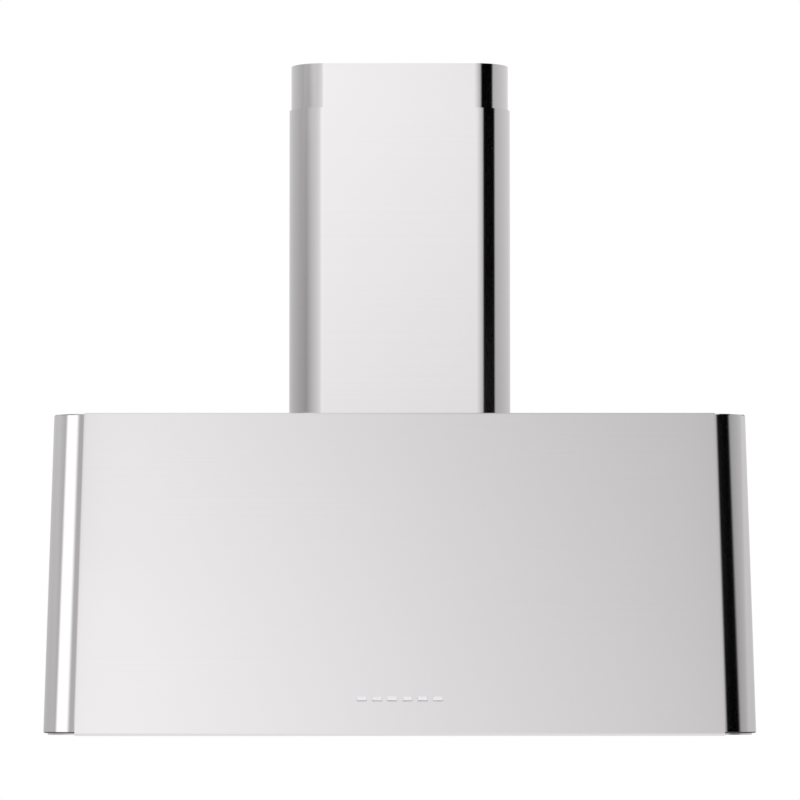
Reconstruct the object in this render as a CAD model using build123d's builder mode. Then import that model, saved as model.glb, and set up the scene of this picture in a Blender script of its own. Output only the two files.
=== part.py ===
from build123d import *
from math import atan2, cos, sin, sqrt
import os

os.makedirs("parts", exist_ok=True)

# Millimetres. X to the viewer's right, the front faces -Y, the wall is y = 0, +Z up.
# The origin is on the wall plane, at the middle of the hood's bottom edge.

# canopy
HOOD_W = 900.0
HOOD_D = 501.0  # to the sharp line of the front's lower bend, about 1.4 in front of the bend itself
CANOPY_H = 416.0
FRONT_SETBACK = 175.0  # how far the front's top edge lies behind its bottom edge
CORNER_R = 42.0
SHEET = 1.2
BEND_R = 2.7
LIP_BOTTOM = 22.0
LIP_TOP = 20.0
RAW_EDGE = 3.7  # the sides and the rounded corners end this far above the front's bottom edge
TOP_RAW_EDGE = 2.8  # the rounded corners end this far below the top
REAR_FLANGE_W = 18.8
REAR_FLANGE_Z = 30.0
TOP_FRONT_GAP = 3.0  # from the front's sharp top edge to the top panel
TOP_SIDE_GAP = 1.7

# underside pan and its filters
PAN_SHEET = 1.0
PAN_Z = 24.0  # underside of the pan's plate
PAN_SIDE_GAP = 4.0
PAN_FRONT_GAP = 14.0
PAN_CORNER_R = 38.0
FILTER_COUNT = 3
SIDE_MARGIN = 21.0  # beside the outer filters
FRONT_MARGIN = 104.0  # room for the lamps in front of the filters
FILTER_SPACE = 24.0
FILTER_T = 20.0
FILTER_SHEET = 1.0
FILTER_LIP = 12.0
FILTER_FRONT_LIP = 36.0
FILTER_DROP = 2.8  # the filter's face lies this far below the pan's plate
FILTER_REAR_Y = -52.0
SIDE_GAP = 2.0
REAR_GAP = 4.0
TAB_W = 30.0
TAB_REACH = 10.0  # how far a tab lies over the rear ledge
TAB_PITCH = 160.0
BAFFLE_PITCH = 36.0
BAFFLE_BASE = 16.0
BAFFLE_MOUTH = 24.0
BAFFLE_H = 10.2
BAFFLE_SHEET = 0.8
LOWER_BAFFLES = 7
UPPER_BAFFLES = 6

# filter clip and handle
CLIP_W = 18.0
CLIP_T = 0.6
CLIP_REACH = 7.0  # how far the clip's nose lies over the front ledge
CLIP_RISE = 8.0
CLIP_FOOT = 14.0
CLIP_HEEL = 15.0  # from the frame's front wall back to the bend above the foot
CLIP_SLANT = 6.0
CLIP_SLOT_H = 8.0
HANDLE_W = 92.0
HANDLE_DROP = 14.0
HANDLE_ROD_R = 2.5
HANDLE_BEND_R = 7.0
HANDLE_BACK = 26.0

# lamps
LAMP_SIDE_INSET = 180.0
LAMP_FRONT_INSET = 60.0
LAMP_HOLE_R = 29.0
BEZEL_R = 33.0
BEZEL_T = 1.6
NECK_R = 28.5
NECK_BORE_R = 24.0
NECK_H = 10.0
LENS_T = 2.0
LENS_SEAT_W = 2.0
LENS_RECESS = 1.0
LENS_FIT = 0.3
HEATSINK_H = 12.0
HEATSINK_BASE = 2.0
HEATSINK_FINS = 7
FIN_T = 1.6
FIN_PITCH = 6.0
LED_BOARD_GAP = 4.0
LED_BOARD_T = 1.6

# push buttons, set square to the leaning front
BUTTON_COUNT = 6
BUTTON_PITCH = 19.2
BUTTON_W = 12.1
BUTTON_H = 5.2
BUTTON_PROUD = 1.8
BUTTON_Z = 46.3
BUTTON_GAP = 0.3
BUTTON_TRAVEL = 2.5
BUTTON_FLANGE_W = 15.4
BUTTON_FLANGE_H = 8.4
BUTTON_FLANGE_T = 1.2
STEM_R = 2.0
STEM_L = 5.4
HOUSING_W = 134.0
HOUSING_H = 22.0
HOUSING_DEPTH = 20.0
HOUSING_WALL = 2.0
HOUSING_LUG_W = 14.0
LUG_T = 3.0
BOARD_T = 1.6
SWITCH_BODY_W = 9.0
SWITCH_BODY_T = 5.6

# blower
BLOWER_Y = -202.0
BLOWER_DROP = 198.6  # from the top panel down to the blower's axis
SCROLL_W = 160.0
SCROLL_R = 102.0
SCROLL_STEP = 18.0  # side of the square that carries the scroll's arc centres
TONGUE_R = 6.0
SCROLL_SHEET = 1.0
SCROLL_RIM = 5.0  # the side walls reach this far past the scroll's band
INLET_R = 66.0
INLET_LIP = 12.0
BLOWER_TAB = 16.0
BLOWER_TAB_L = 140.0
BLOWER_TAB_BACK = 3.0  # the tabs' middle lies this far in front of the duct's axis
BLOWER_SCREW_PITCH = 100.0
IMPELLER_R = 85.0
IMPELLER_ROOT_R = 69.0
IMPELLER_HALF = 64.0
BLADES = 30
BLADE_T = 1.0
BLADE_BOW = 3.2
RING_T = 3.0
RING_W = 3.0
DISC_T = 2.0
HUB_R = 13.0
HUB_L = 15.0
SHAFT_R = 4.0
SHAFT_FIT = 0.05
SHAFT_HALF = 20.0
MOTOR_R = 45.0
MOTOR_NEAR = 12.0  # distance of the motor's near face from the impeller disc
MOTOR_L = 73.0
MOTOR_EDGE_R = 4.0
MOTOR_BOSS_R = 14.0
MOTOR_BOSS_H = 4.0
SHAFT_IN_MOTOR = 30.0
SHAFT_BORE_L = 36.0
SPIDER_T = 1.5
SPIDER_ARM = 16.0
SPIDER_REACH = 92.0
SPIDER_FOOT_R = 84.0
SPIDER_HUB_INSET = 8.0
SPIDER_FOOT_INSET = 1.0

# duct collar and its two flaps
DUCT_Y = -127.0
DUCT_R = 75.0
DUCT_H = 62.0
DUCT_FLANGE_R = 87.0
FLAP_RISE = 27.2  # from the top panel up to the flaps
FLAP_T = 1.0
FLAP_GAP = 0.9
FLAP_ROD_R = 1.5
FLAP_ROD_FIT = 0.1
FLAP_ROD_INSET = 0.4  # the rods end this far inside the collar's outer face
FLAP_SPLIT = 3.2  # half the distance between the two rods
DUCT_LEDGE = 1.0  # the top panel's hole is this much smaller than the collar

# chimney covers
CHIMNEY_W = 291.5
CHIMNEY_D = 255.0
CHIMNEY_R = 45.0
CHIMNEY_SHEET = 1.0
CHIMNEY_GAP = 1.4
BACK_NOTCH = 0.4  # the lower cover clears the back panel's top edge by this much
LOWER_COVER_L = 407.2
UPPER_SHOW = 59.0  # how much of the upper cover shows when it is pushed down
CHIMNEY_FLANGE = 15.0
LOCATOR_H = 31.2
LOCATOR_GAP = 0.3
LOCATOR_REAR = 8.0
LOCATOR_SCREW_PITCH = 110.0
COVER_SCREW_Y = -60.0
LOCATOR_FOOT = 14.0
LOCATOR_FOOT_W = 140.0
LUG = 7.0
LUG_FRONT_W = 60.0
LUG_SIDE_W = 50.0
VENT_COUNT = 8
VENT_PITCH = 12.0
VENT_L = 70.0
VENT_H = 4.0
VENT_RISE = 24.0  # first slot above the upper cover's bottom edge
CEILING_BRACKET_DROP = 31.0
CEILING_BRACKET_H = 30.0
CEILING_BRACKET_T = 1.5
BRACKET_ARM = 40.0
BRACKET_EAR = 20.0
BRACKET_JOG = 6.0
BRACKET_SCREW_Y = -30.0
BRACKET_SCREW_L = 6.0
BRACKET_HEAD_GAP = 0.6
CEILING_HOLE_R = 3.25
CEILING_HOLE_X = 80.0

# wall fixings and electrics
KEYHOLE_X = 200.0
KEYHOLE_DROP = 86.0
KEYHOLE_HEAD_R = 8.0
KEYHOLE_NECK_R = 4.0
KEYHOLE_RISE = 14.0
WALL_HOLE_R = 4.0
WALL_HOLE_Z = 70.0
INLET_DROP = 24.0
GLAND_R = 10.0
GLAND_BORE_R = 4.5
GLAND_NUT_R = 14.0
GLAND_NUT_T = 5.0
GLAND_TAIL = 12.0
GLAND_FIT = 0.3
BOX_INSET = 180.0  # from the hood's left side to the middle of the box and the inlet
BOX_W = 120.0
BOX_L = 70.0
BOX_H = 40.0
BOX_Y = -85.0
BOX_WALL = 1.5
BOX_POST_X = 55.0
BOX_POST_R = 4.5
BOX_ENTRY_R = 8.0
BLOCK_L = 70.0
BLOCK_W = 22.0
BLOCK_H = 16.0
POLE_PITCH = 14.0
POLE_ROWS = 10.0
POLE_R = 3.0
POLE_DEPTH = 4.0
DRIVER_L = 46.0
DRIVER_H = 26.0
DRIVER_Y = -175.0
DRIVER_CORNER_R = 3.0
DRIVER_EDGE_R = 1.5
CAP_R = 16.0
CAP_L = 58.0
CAP_X = 180.0
CAP_Y = -150.0
CAP_EDGE_R = 1.5
CAP_GAP = 0.3
STRAP_T = 1.2
STRAP_FOOT = 13.0
STRAP_W = 16.0
CABLE_R = 2.5
CABLE_BEND_R = 14.0
CABLE_SIDES = 8
CABLE_STEP = 30.0  # cables leave their sockets this far or more before they turn
CABLE_SPREAD = 30.0  # from the middle of the boxes to a cable
FRONT_CLEAR = 28.0  # from the leaning sheet to a cable that climbs behind it

# screws
M4_R = 2.0
M4_HEAD_R = 3.8
M4_HEAD_H = 2.4
M4_HOLE_R = 2.2
SCREW_L = 8.0

LEAN = atan2(FRONT_SETBACK, CANOPY_H)
FLAT_HALF = HOOD_W / 2 - CORNER_R
SIDE_IN = HOOD_W / 2 - SHEET
FRONT_SHEET = SHEET / cos(LEAN)  # level thickness of the leaning sheet
PANEL_TOP = CANOPY_H - SHEET
PANEL_UNDER = PANEL_TOP - SHEET
PAN_TOP = PAN_Z + PAN_SHEET
PAN_FRONT = -HOOD_D + PAN_FRONT_GAP
PAN_HALF = HOOD_W / 2 - PAN_SIDE_GAP
FILTER_BOTTOM = PAN_Z - FILTER_DROP
FILTER_PITCH = (HOOD_W - 2 * SIDE_MARGIN) / FILTER_COUNT
FILTER_W = FILTER_PITCH - FILTER_SPACE
FILTER_FRONT_Y = -HOOD_D + FRONT_MARGIN + SIDE_GAP
FILTER_L = FILTER_REAR_Y - FILTER_FRONT_Y
LEDGE_REAR_Y = FILTER_REAR_Y + REAR_GAP
LEDGE_FRONT_Y = FILTER_FRONT_Y - SIDE_GAP
FILTER_X = [(i - (FILTER_COUNT - 1) / 2) * FILTER_PITCH for i in range(FILTER_COUNT)]
SIDES = ["left", "middle", "right"]
LAMP_X = HOOD_W / 2 - LAMP_SIDE_INSET
LAMP_Y = -HOOD_D + LAMP_FRONT_INSET
BLOWER_Z = PANEL_UNDER - BLOWER_DROP
FLAP_Z = PANEL_TOP + FLAP_RISE
KEYHOLE_Z = CANOPY_H - KEYHOLE_DROP
INLET_Z = CANOPY_H - INLET_DROP
BOX_X = -HOOD_W / 2 + BOX_INSET
UPPER_W = CHIMNEY_W - 2 * (CHIMNEY_SHEET + CHIMNEY_GAP)
UPPER_FRONT_Y = -CHIMNEY_D + CHIMNEY_SHEET + CHIMNEY_GAP
UPPER_REAR_Y = -CHIMNEY_SHEET - CHIMNEY_GAP
UPPER_R = CHIMNEY_R - CHIMNEY_SHEET - CHIMNEY_GAP
UPPER_BOTTOM_Z = PANEL_TOP + LOCATOR_H
LOWER_TOP_Z = PANEL_TOP + LOWER_COVER_L
UPPER_TOP_Z = LOWER_TOP_Z + UPPER_SHOW
VENT_Z = UPPER_BOTTOM_Z + VENT_RISE
CEILING_BRACKET_Z = UPPER_TOP_Z - CEILING_BRACKET_DROP
SCROLL_HALF = SCROLL_W / 2


def front_y(z):
    """Level position of the leaning front's outer face at height z."""
    return -HOOD_D + FRONT_SETBACK * z / CANOPY_H


def front_plane(x, z, out=0.0):
    """Plane on the leaning front at height z, its normal pointing out of the hood."""
    origin = (x, front_y(z) - out * cos(LEAN), z + out * sin(LEAN))
    return Plane(origin=origin, x_dir=(1, 0, 0), z_dir=(0, -cos(LEAN), sin(LEAN)))


def save(piece, name):
    piece.part.label = name
    export_step(piece.part, f"parts/{name}.step")


def screws(places):
    """Round-headed screws: each place is a plane on the clamped face, its normal outward."""
    with BuildPart() as group:
        for place in places:
            with BuildSketch(place):
                Circle(M4_HEAD_R)
            extrude(amount=M4_HEAD_H)
            with BuildSketch(place):
                Circle(M4_R)
            extrude(amount=-SCREW_L)
    return group


def cover_section(width, front, rear, radius, sheet):
    """Chimney cover in plan: three sides, round front corners, narrow flanges at the wall."""
    with BuildSketch() as section:
        with Locations((0, (front + rear) / 2)):
            Rectangle(width, rear - front)
        fillet(section.vertices().group_by(Axis.Y)[0], radius)
        offset(amount=-sheet, mode=Mode.SUBTRACT)
        with Locations((0, rear - sheet / 2)):
            Rectangle(width - 2 * CHIMNEY_FLANGE, 2 * sheet, mode=Mode.SUBTRACT)
    return section.sketch


OUTWARD = Axis((0, 0, 0), (0, -cos(LEAN), sin(LEAN)))
BUTTON_X = [(i - (BUTTON_COUNT - 1) / 2) * BUTTON_PITCH for i in range(BUTTON_COUNT)]
HOUSING_SCREW_X = HOUSING_W / 2 + HOUSING_LUG_W / 2

# ---- canopy -----------------------------------------------------------------

# one bent sheet: two sides and the leaning front, joined by rounded corners
with BuildPart() as canopy_wrap:
    for side in (-1, 1):
        with BuildSketch(Plane.XZ.offset(SHEET)):
            with BuildLine():
                FilletPolyline(
                    (side * (HOOD_W / 2 - LIP_BOTTOM), RAW_EDGE),
                    (side * HOOD_W / 2, RAW_EDGE),
                    (side * HOOD_W / 2, CANOPY_H),
                    (side * (HOOD_W / 2 - LIP_TOP), CANOPY_H),
                    radius=BEND_R,
                )
                offset(amount=SHEET, side=Side.LEFT if side > 0 else Side.RIGHT)
            make_face()
        extrude(amount=HOOD_D)
    corner_line = Plane(origin=(0, front_y(0) + CORNER_R, 0), z_dir=(0, cos(LEAN), -sin(LEAN)))
    split(bisect_by=corner_line, keep=Keep.TOP)
    for side in (-1, 1):
        with Locations((side * (SIDE_IN - REAR_FLANGE_W / 2), -1.5 * SHEET, REAR_FLANGE_Z)):
            Box(
                REAR_FLANGE_W,
                SHEET,
                PANEL_UNDER - REAR_FLANGE_Z,
                align=(Align.CENTER, Align.CENTER, Align.MIN),
            )
    with BuildSketch(Plane.YZ.offset(-FLAT_HALF)):
        with BuildLine():
            FilletPolyline(
                (front_y(0) + LIP_BOTTOM, 0),
                (front_y(0), 0),
                (front_y(CANOPY_H), CANOPY_H),
                (front_y(CANOPY_H) + LIP_TOP, CANOPY_H),
                radius=BEND_R,
            )
            offset(amount=SHEET, side=Side.RIGHT)
        make_face()
    extrude(amount=2 * FLAT_HALF)
    for side in (-1, 1):
        with BuildSketch(Plane.XY.offset(RAW_EDGE)):
            with Locations((side * FLAT_HALF, front_y(RAW_EDGE) + CORNER_R)):
                Circle(CORNER_R)
                Ellipse(CORNER_R - SHEET, CORNER_R - FRONT_SHEET, mode=Mode.SUBTRACT)
            with Locations((side * FLAT_HALF, front_y(RAW_EDGE) + CORNER_R)):
                Rectangle(
                    CORNER_R,
                    CORNER_R,
                    align=(Align.MIN if side > 0 else Align.MAX, Align.MAX),
                    mode=Mode.INTERSECT,
                )
        corner_h = CANOPY_H - RAW_EDGE - TOP_RAW_EDGE
        extrude(amount=corner_h / cos(LEAN), dir=(0, sin(LEAN), cos(LEAN)))
    with BuildSketch(front_plane(0, BUTTON_Z)):
        with Locations([(x, 0) for x in BUTTON_X]):
            RectangleRounded(BUTTON_W + 2 * BUTTON_GAP, BUTTON_H + 2 * BUTTON_GAP, 0.6)
    extrude(amount=-3 * SHEET, mode=Mode.SUBTRACT)
save(canopy_wrap, "canopy_wrap")

# flat back with the wall fixings and the cable inlet
with BuildPart() as back_panel:
    with BuildSketch(Plane.XZ):
        with Locations((0, CANOPY_H / 2)):
            RectangleRounded(HOOD_W, CANOPY_H, BEND_R)
        with Locations((-KEYHOLE_X, KEYHOLE_Z), (KEYHOLE_X, KEYHOLE_Z)):
            Circle(KEYHOLE_HEAD_R, mode=Mode.SUBTRACT)
        with Locations(
            (-KEYHOLE_X, KEYHOLE_Z + KEYHOLE_RISE / 2), (KEYHOLE_X, KEYHOLE_Z + KEYHOLE_RISE / 2)
        ):
            SlotCenterToCenter(KEYHOLE_RISE, 2 * KEYHOLE_NECK_R, rotation=90, mode=Mode.SUBTRACT)
        with Locations((-KEYHOLE_X, WALL_HOLE_Z), (KEYHOLE_X, WALL_HOLE_Z)):
            Circle(WALL_HOLE_R, mode=Mode.SUBTRACT)
        with Locations((BOX_X, INLET_Z)):
            Circle(GLAND_R + GLAND_FIT, mode=Mode.SUBTRACT)
    extrude(amount=SHEET)
save(back_panel, "back_panel")

COLLAR_SCREW_R = (DUCT_R + DUCT_FLANGE_R) / 2
BLOWER_SCREW_X = SCROLL_HALF + SHEET + BLOWER_TAB / 2
BLOWER_TAB_Y = DUCT_Y - BLOWER_TAB_BACK
BLOWER_SCREW_Y = [BLOWER_TAB_Y - BLOWER_SCREW_PITCH / 2, BLOWER_TAB_Y + BLOWER_SCREW_PITCH / 2]
LOCATOR_SCREW_X = LOCATOR_SCREW_PITCH / 2
LOCATOR_FRONT_Y = -CHIMNEY_D + CHIMNEY_SHEET + LOCATOR_GAP
LOCATOR_FOOT_Y = LOCATOR_FRONT_Y + LOCATOR_FOOT / 2

# closes the canopy's top under its lips and carries the blower, collar and chimney
with BuildPart() as top_panel:
    with BuildSketch(Plane.XY.offset(PANEL_UNDER)) as top_outline:
        top_front = front_y(CANOPY_H) + TOP_FRONT_GAP
        with Locations((0, (top_front - SHEET) / 2)):
            Rectangle(2 * (SIDE_IN - TOP_SIDE_GAP), -SHEET - top_front)
        fillet(top_outline.vertices().group_by(Axis.Y)[0], CORNER_R - TOP_FRONT_GAP)
        with Locations((0, DUCT_Y)):
            Circle(DUCT_R - DUCT_LEDGE, mode=Mode.SUBTRACT)
            with PolarLocations(COLLAR_SCREW_R, 4, start_angle=45):
                Circle(M4_HOLE_R, mode=Mode.SUBTRACT)
        with Locations([(s * BLOWER_SCREW_X, y) for s in (-1, 1) for y in BLOWER_SCREW_Y]):
            Circle(M4_HOLE_R, mode=Mode.SUBTRACT)
        with Locations([(s * LOCATOR_SCREW_X, LOCATOR_FOOT_Y) for s in (-1, 1)]):
            Circle(M4_HOLE_R, mode=Mode.SUBTRACT)
    extrude(amount=SHEET)
save(top_panel, "top_panel")

# tray that closes the underside: rim on the canopy's lips, openings for filters and lamps;
# the rim is cut back where it stands on the higher side lips
with BuildPart() as underside_pan:
    with BuildSketch(Plane.XY.offset(SHEET)) as pan_outline:
        with Locations((0, (PAN_FRONT - SHEET) / 2)):
            Rectangle(2 * PAN_HALF, -SHEET - PAN_FRONT)
        fillet(pan_outline.vertices().group_by(Axis.Y)[0], PAN_CORNER_R)
    extrude(amount=PAN_TOP - SHEET)
    with BuildSketch(Plane.XY.offset(SHEET)) as pan_inside:
        with Locations((0, (PAN_FRONT - SHEET) / 2)):
            Rectangle(2 * (PAN_HALF - PAN_SHEET), -SHEET - PAN_FRONT - 2 * PAN_SHEET)
        fillet(pan_inside.vertices().group_by(Axis.Y)[0], PAN_CORNER_R - PAN_SHEET)
    extrude(amount=PAN_Z - SHEET, mode=Mode.SUBTRACT)
    with BuildSketch(Plane.XY.offset(PAN_Z)):
        with Locations([(x, (LEDGE_FRONT_Y + LEDGE_REAR_Y) / 2) for x in FILTER_X]):
            Rectangle(FILTER_W + 2 * SIDE_GAP, LEDGE_REAR_Y - LEDGE_FRONT_Y)
        with Locations((-LAMP_X, LAMP_Y), (LAMP_X, LAMP_Y)):
            Circle(LAMP_HOLE_R)
    extrude(amount=PAN_SHEET, mode=Mode.SUBTRACT)
    lip_edge_x = HOOD_W / 2 - LIP_BOTTOM - PAN_SHEET
    lip_front_y = front_y(0) + CORNER_R - PAN_SHEET
    for side in (-1, 1):
        with Locations((side * lip_edge_x, lip_front_y, 0)):
            Box(
                LIP_BOTTOM,
                HOOD_D,
                RAW_EDGE + SHEET,
                align=(Align.MIN if side > 0 else Align.MAX, Align.MIN, Align.MIN),
                mode=Mode.SUBTRACT,
            )
save(underside_pan, "underside_pan")

# ---- grease filters ---------------------------------------------------------

FILTER_MID_Y = (FILTER_FRONT_Y + FILTER_REAR_Y) / 2
CLIP_WALL_Y = FILTER_FRONT_Y + FILTER_FRONT_LIP


def filter_frame(x):
    """Folded frame: four walls with lips, a closed box at the front for the clip, two tabs at the rear."""
    with BuildPart() as frame:
        with Locations((x, FILTER_MID_Y, FILTER_BOTTOM + FILTER_T / 2)):
            Box(FILTER_W, FILTER_L, FILTER_T)
            Box(
                FILTER_W - 2 * FILTER_SHEET,
                FILTER_L - 2 * FILTER_SHEET,
                FILTER_T - 2 * FILTER_SHEET,
                mode=Mode.SUBTRACT,
            )
        opening_front = CLIP_WALL_Y
        opening_rear = FILTER_REAR_Y - FILTER_LIP
        with Locations((x, (opening_front + opening_rear) / 2, FILTER_BOTTOM + FILTER_T / 2)):
            Box(
                FILTER_W - 2 * FILTER_LIP,
                opening_rear - opening_front,
                2 * FILTER_T,
                mode=Mode.SUBTRACT,
            )
        with Locations((x, CLIP_WALL_Y - FILTER_SHEET / 2, FILTER_BOTTOM + FILTER_T / 2)):
            Box(FILTER_W - FILTER_SHEET, FILTER_SHEET, FILTER_T - FILTER_SHEET)
        tab_length = REAR_GAP + TAB_REACH + FILTER_SHEET
        with Locations(
            (x - TAB_PITCH / 2, FILTER_REAR_Y - FILTER_SHEET, PAN_TOP),
            (x + TAB_PITCH / 2, FILTER_REAR_Y - FILTER_SHEET, PAN_TOP),
        ):
            Box(TAB_W, tab_length, SHEET, align=(Align.CENTER, Align.MIN, Align.MIN))
        with Locations((x, FILTER_FRONT_Y, PAN_TOP + CLIP_RISE / 3)):
            Box(
                CLIP_W + 2,
                4 * FILTER_SHEET,
                CLIP_SLOT_H,
                align=(Align.CENTER, Align.CENTER, Align.MIN),
                mode=Mode.SUBTRACT,
            )
    return frame


def filter_baffles(x):
    """Two rows of folded channels, mouth to mouth and overlapping, so grease meets metal."""
    baffle_front = CLIP_WALL_Y
    baffle_rear = FILTER_REAR_Y - FILTER_SHEET
    with BuildPart() as baffles:
        for count, base_z, up in (
            (LOWER_BAFFLES, FILTER_BOTTOM + FILTER_SHEET, 1),
            (UPPER_BAFFLES, FILTER_BOTTOM + FILTER_T - FILTER_SHEET, -1),
        ):
            with BuildSketch(Plane.XZ.offset(-baffle_rear)):
                for i in range(count):
                    mid = x + (i - (count - 1) / 2) * BAFFLE_PITCH
                    wall = BAFFLE_SHEET * 1.08
                    Polygon(
                        (mid - BAFFLE_MOUTH / 2, base_z + up * BAFFLE_H),
                        (mid - BAFFLE_BASE / 2, base_z),
                        (mid + BAFFLE_BASE / 2, base_z),
                        (mid + BAFFLE_MOUTH / 2, base_z + up * BAFFLE_H),
                        (mid + BAFFLE_MOUTH / 2 - wall, base_z + up * BAFFLE_H),
                        (mid + BAFFLE_BASE / 2 - wall, base_z + up * BAFFLE_SHEET),
                        (mid - BAFFLE_BASE / 2 + wall, base_z + up * BAFFLE_SHEET),
                        (mid - BAFFLE_MOUTH / 2 + wall, base_z + up * BAFFLE_H),
                        align=None,
                    )
            extrude(amount=baffle_rear - baffle_front)
    return baffles


def filter_clip(x):
    """Leaf spring on the frame's lip; its nose passes the front wall and lies on the ledge."""
    foot_z = FILTER_BOTTOM + FILTER_SHEET
    front = FILTER_FRONT_Y
    with BuildPart() as clip:
        with BuildSketch(Plane.YZ.offset(x - CLIP_W / 2)):
            with BuildLine():
                Polyline(
                    (front + CLIP_HEEL + CLIP_FOOT, foot_z),
                    (front + CLIP_HEEL, foot_z),
                    (front + CLIP_HEEL - CLIP_SLANT, PAN_TOP + CLIP_RISE),
                    (front + SIDE_GAP, PAN_TOP + CLIP_RISE),
                    (LEDGE_FRONT_Y - SIDE_GAP, PAN_TOP),
                    (LEDGE_FRONT_Y - CLIP_REACH, PAN_TOP),
                )
                offset(amount=CLIP_T, side=Side.RIGHT, kind=Kind.INTERSECTION)
            make_face()
        extrude(amount=CLIP_W)
    return clip


def filter_handle(x):
    """Round bar bent to a U under the filter's front margin."""
    with BuildPart() as handle:
        y = FILTER_FRONT_Y + HANDLE_BACK
        with BuildLine(Plane.XZ.offset(-y)) as bar:
            FilletPolyline(
                (x - HANDLE_W / 2, FILTER_BOTTOM),
                (x - HANDLE_W / 2, FILTER_BOTTOM - HANDLE_DROP),
                (x + HANDLE_W / 2, FILTER_BOTTOM - HANDLE_DROP),
                (x + HANDLE_W / 2, FILTER_BOTTOM),
                radius=HANDLE_BEND_R,
            )
        with BuildSketch(Plane(origin=bar.line @ 0, z_dir=bar.line % 0)):
            Circle(HANDLE_ROD_R)
        sweep()
    return handle


for side_name, filter_x in zip(SIDES, FILTER_X):
    save(filter_frame(filter_x), f"{side_name}_filter_frame")
    save(filter_baffles(filter_x), f"{side_name}_filter_baffles")
    save(filter_clip(filter_x), f"{side_name}_filter_clip")
    save(filter_handle(filter_x), f"{side_name}_filter_handle")

# ---- lamps ------------------------------------------------------------------

LENS_SEAT_R = NECK_BORE_R - LENS_SEAT_W
BEZEL_BOTTOM = PAN_Z - BEZEL_T
LENS_Z = BEZEL_BOTTOM + LENS_RECESS
NECK_TOP = PAN_Z + NECK_H


def lamp_bezel(x):
    """Pressed ring with a neck through the pan's hole and a seat for the lens."""
    with BuildPart() as bezel:
        for base, radius, height, mode in (
            (BEZEL_BOTTOM, BEZEL_R, BEZEL_T, Mode.ADD),
            (PAN_Z, NECK_R, NECK_H, Mode.ADD),
            (BEZEL_BOTTOM, LENS_SEAT_R, 2 * NECK_H, Mode.SUBTRACT),
            (LENS_Z, NECK_BORE_R, 2 * NECK_H, Mode.SUBTRACT),
        ):
            with BuildSketch(Plane.XY.offset(base)):
                with Locations((x, LAMP_Y)):
                    Circle(radius)
            extrude(amount=height, mode=mode)
    return bezel


def lamp_lens(x):
    with BuildPart() as lens:
        with BuildSketch(Plane.XY.offset(LENS_Z)):
            with Locations((x, LAMP_Y)):
                Circle(NECK_BORE_R - LENS_FIT)
        extrude(amount=LENS_T)
    return lens


def lamp_module(x):
    """Light board on a finned metal disc that closes the bezel's neck."""
    with BuildPart() as module:
        with BuildSketch(Plane.XY.offset(NECK_TOP)):
            with Locations((x, LAMP_Y)):
                Circle(NECK_R)
        extrude(amount=HEATSINK_BASE)
        with BuildSketch(Plane.XY.offset(NECK_TOP)):
            with Locations((x, LAMP_Y)):
                Circle(NECK_BORE_R - LED_BOARD_GAP)
        extrude(amount=-LED_BOARD_T)
        for i in range(HEATSINK_FINS):
            fin_x = (i - (HEATSINK_FINS - 1) / 2) * FIN_PITCH
            fin_l = 2 * sqrt((NECK_R - FIN_T) ** 2 - fin_x**2)
            fin_h = HEATSINK_H - HEATSINK_BASE
            with Locations((x + fin_x, LAMP_Y, NECK_TOP + HEATSINK_BASE)):
                Box(FIN_T, fin_l, fin_h, align=(Align.CENTER, Align.CENTER, Align.MIN))
    return module


for side_name, lamp_x in (("left", -LAMP_X), ("right", LAMP_X)):
    save(lamp_bezel(lamp_x), f"{side_name}_lamp_bezel")
    save(lamp_lens(lamp_x), f"{side_name}_lamp_lens")
    save(lamp_module(lamp_x), f"{side_name}_lamp_module")

# ---- push buttons and their switches ----------------------------------------

HOUSING_FACE = -SHEET  # where the housing's face meets the sheet, measured out of the front
FLANGE_FACE = HOUSING_FACE - HOUSING_WALL
SWITCH_FACE = FLANGE_FACE - BUTTON_FLANGE_T - BUTTON_TRAVEL - 0.4
BOARD_FACE = SWITCH_FACE - SWITCH_BODY_T


def push_button(x):
    """Oblong cap through the front sheet, a flange that stops it, and the switch stem."""
    with BuildPart() as button:
        with BuildSketch(front_plane(x, BUTTON_Z, FLANGE_FACE)):
            RectangleRounded(BUTTON_W, BUTTON_H, 0.5)
        extrude(amount=BUTTON_PROUD - FLANGE_FACE)
        fillet(button.faces().sort_by(OUTWARD)[-1].edges(), 0.4)
        with BuildSketch(front_plane(x, BUTTON_Z, FLANGE_FACE)):
            Rectangle(BUTTON_FLANGE_W, BUTTON_FLANGE_H)
        extrude(amount=-BUTTON_FLANGE_T)
        with BuildSketch(front_plane(x, BUTTON_Z, FLANGE_FACE - BUTTON_FLANGE_T)):
            Circle(STEM_R)
        extrude(amount=-STEM_L)
    return button


for index, button_x in enumerate(BUTTON_X):
    save(push_button(button_x), f"push_button_{index + 1}")

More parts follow.
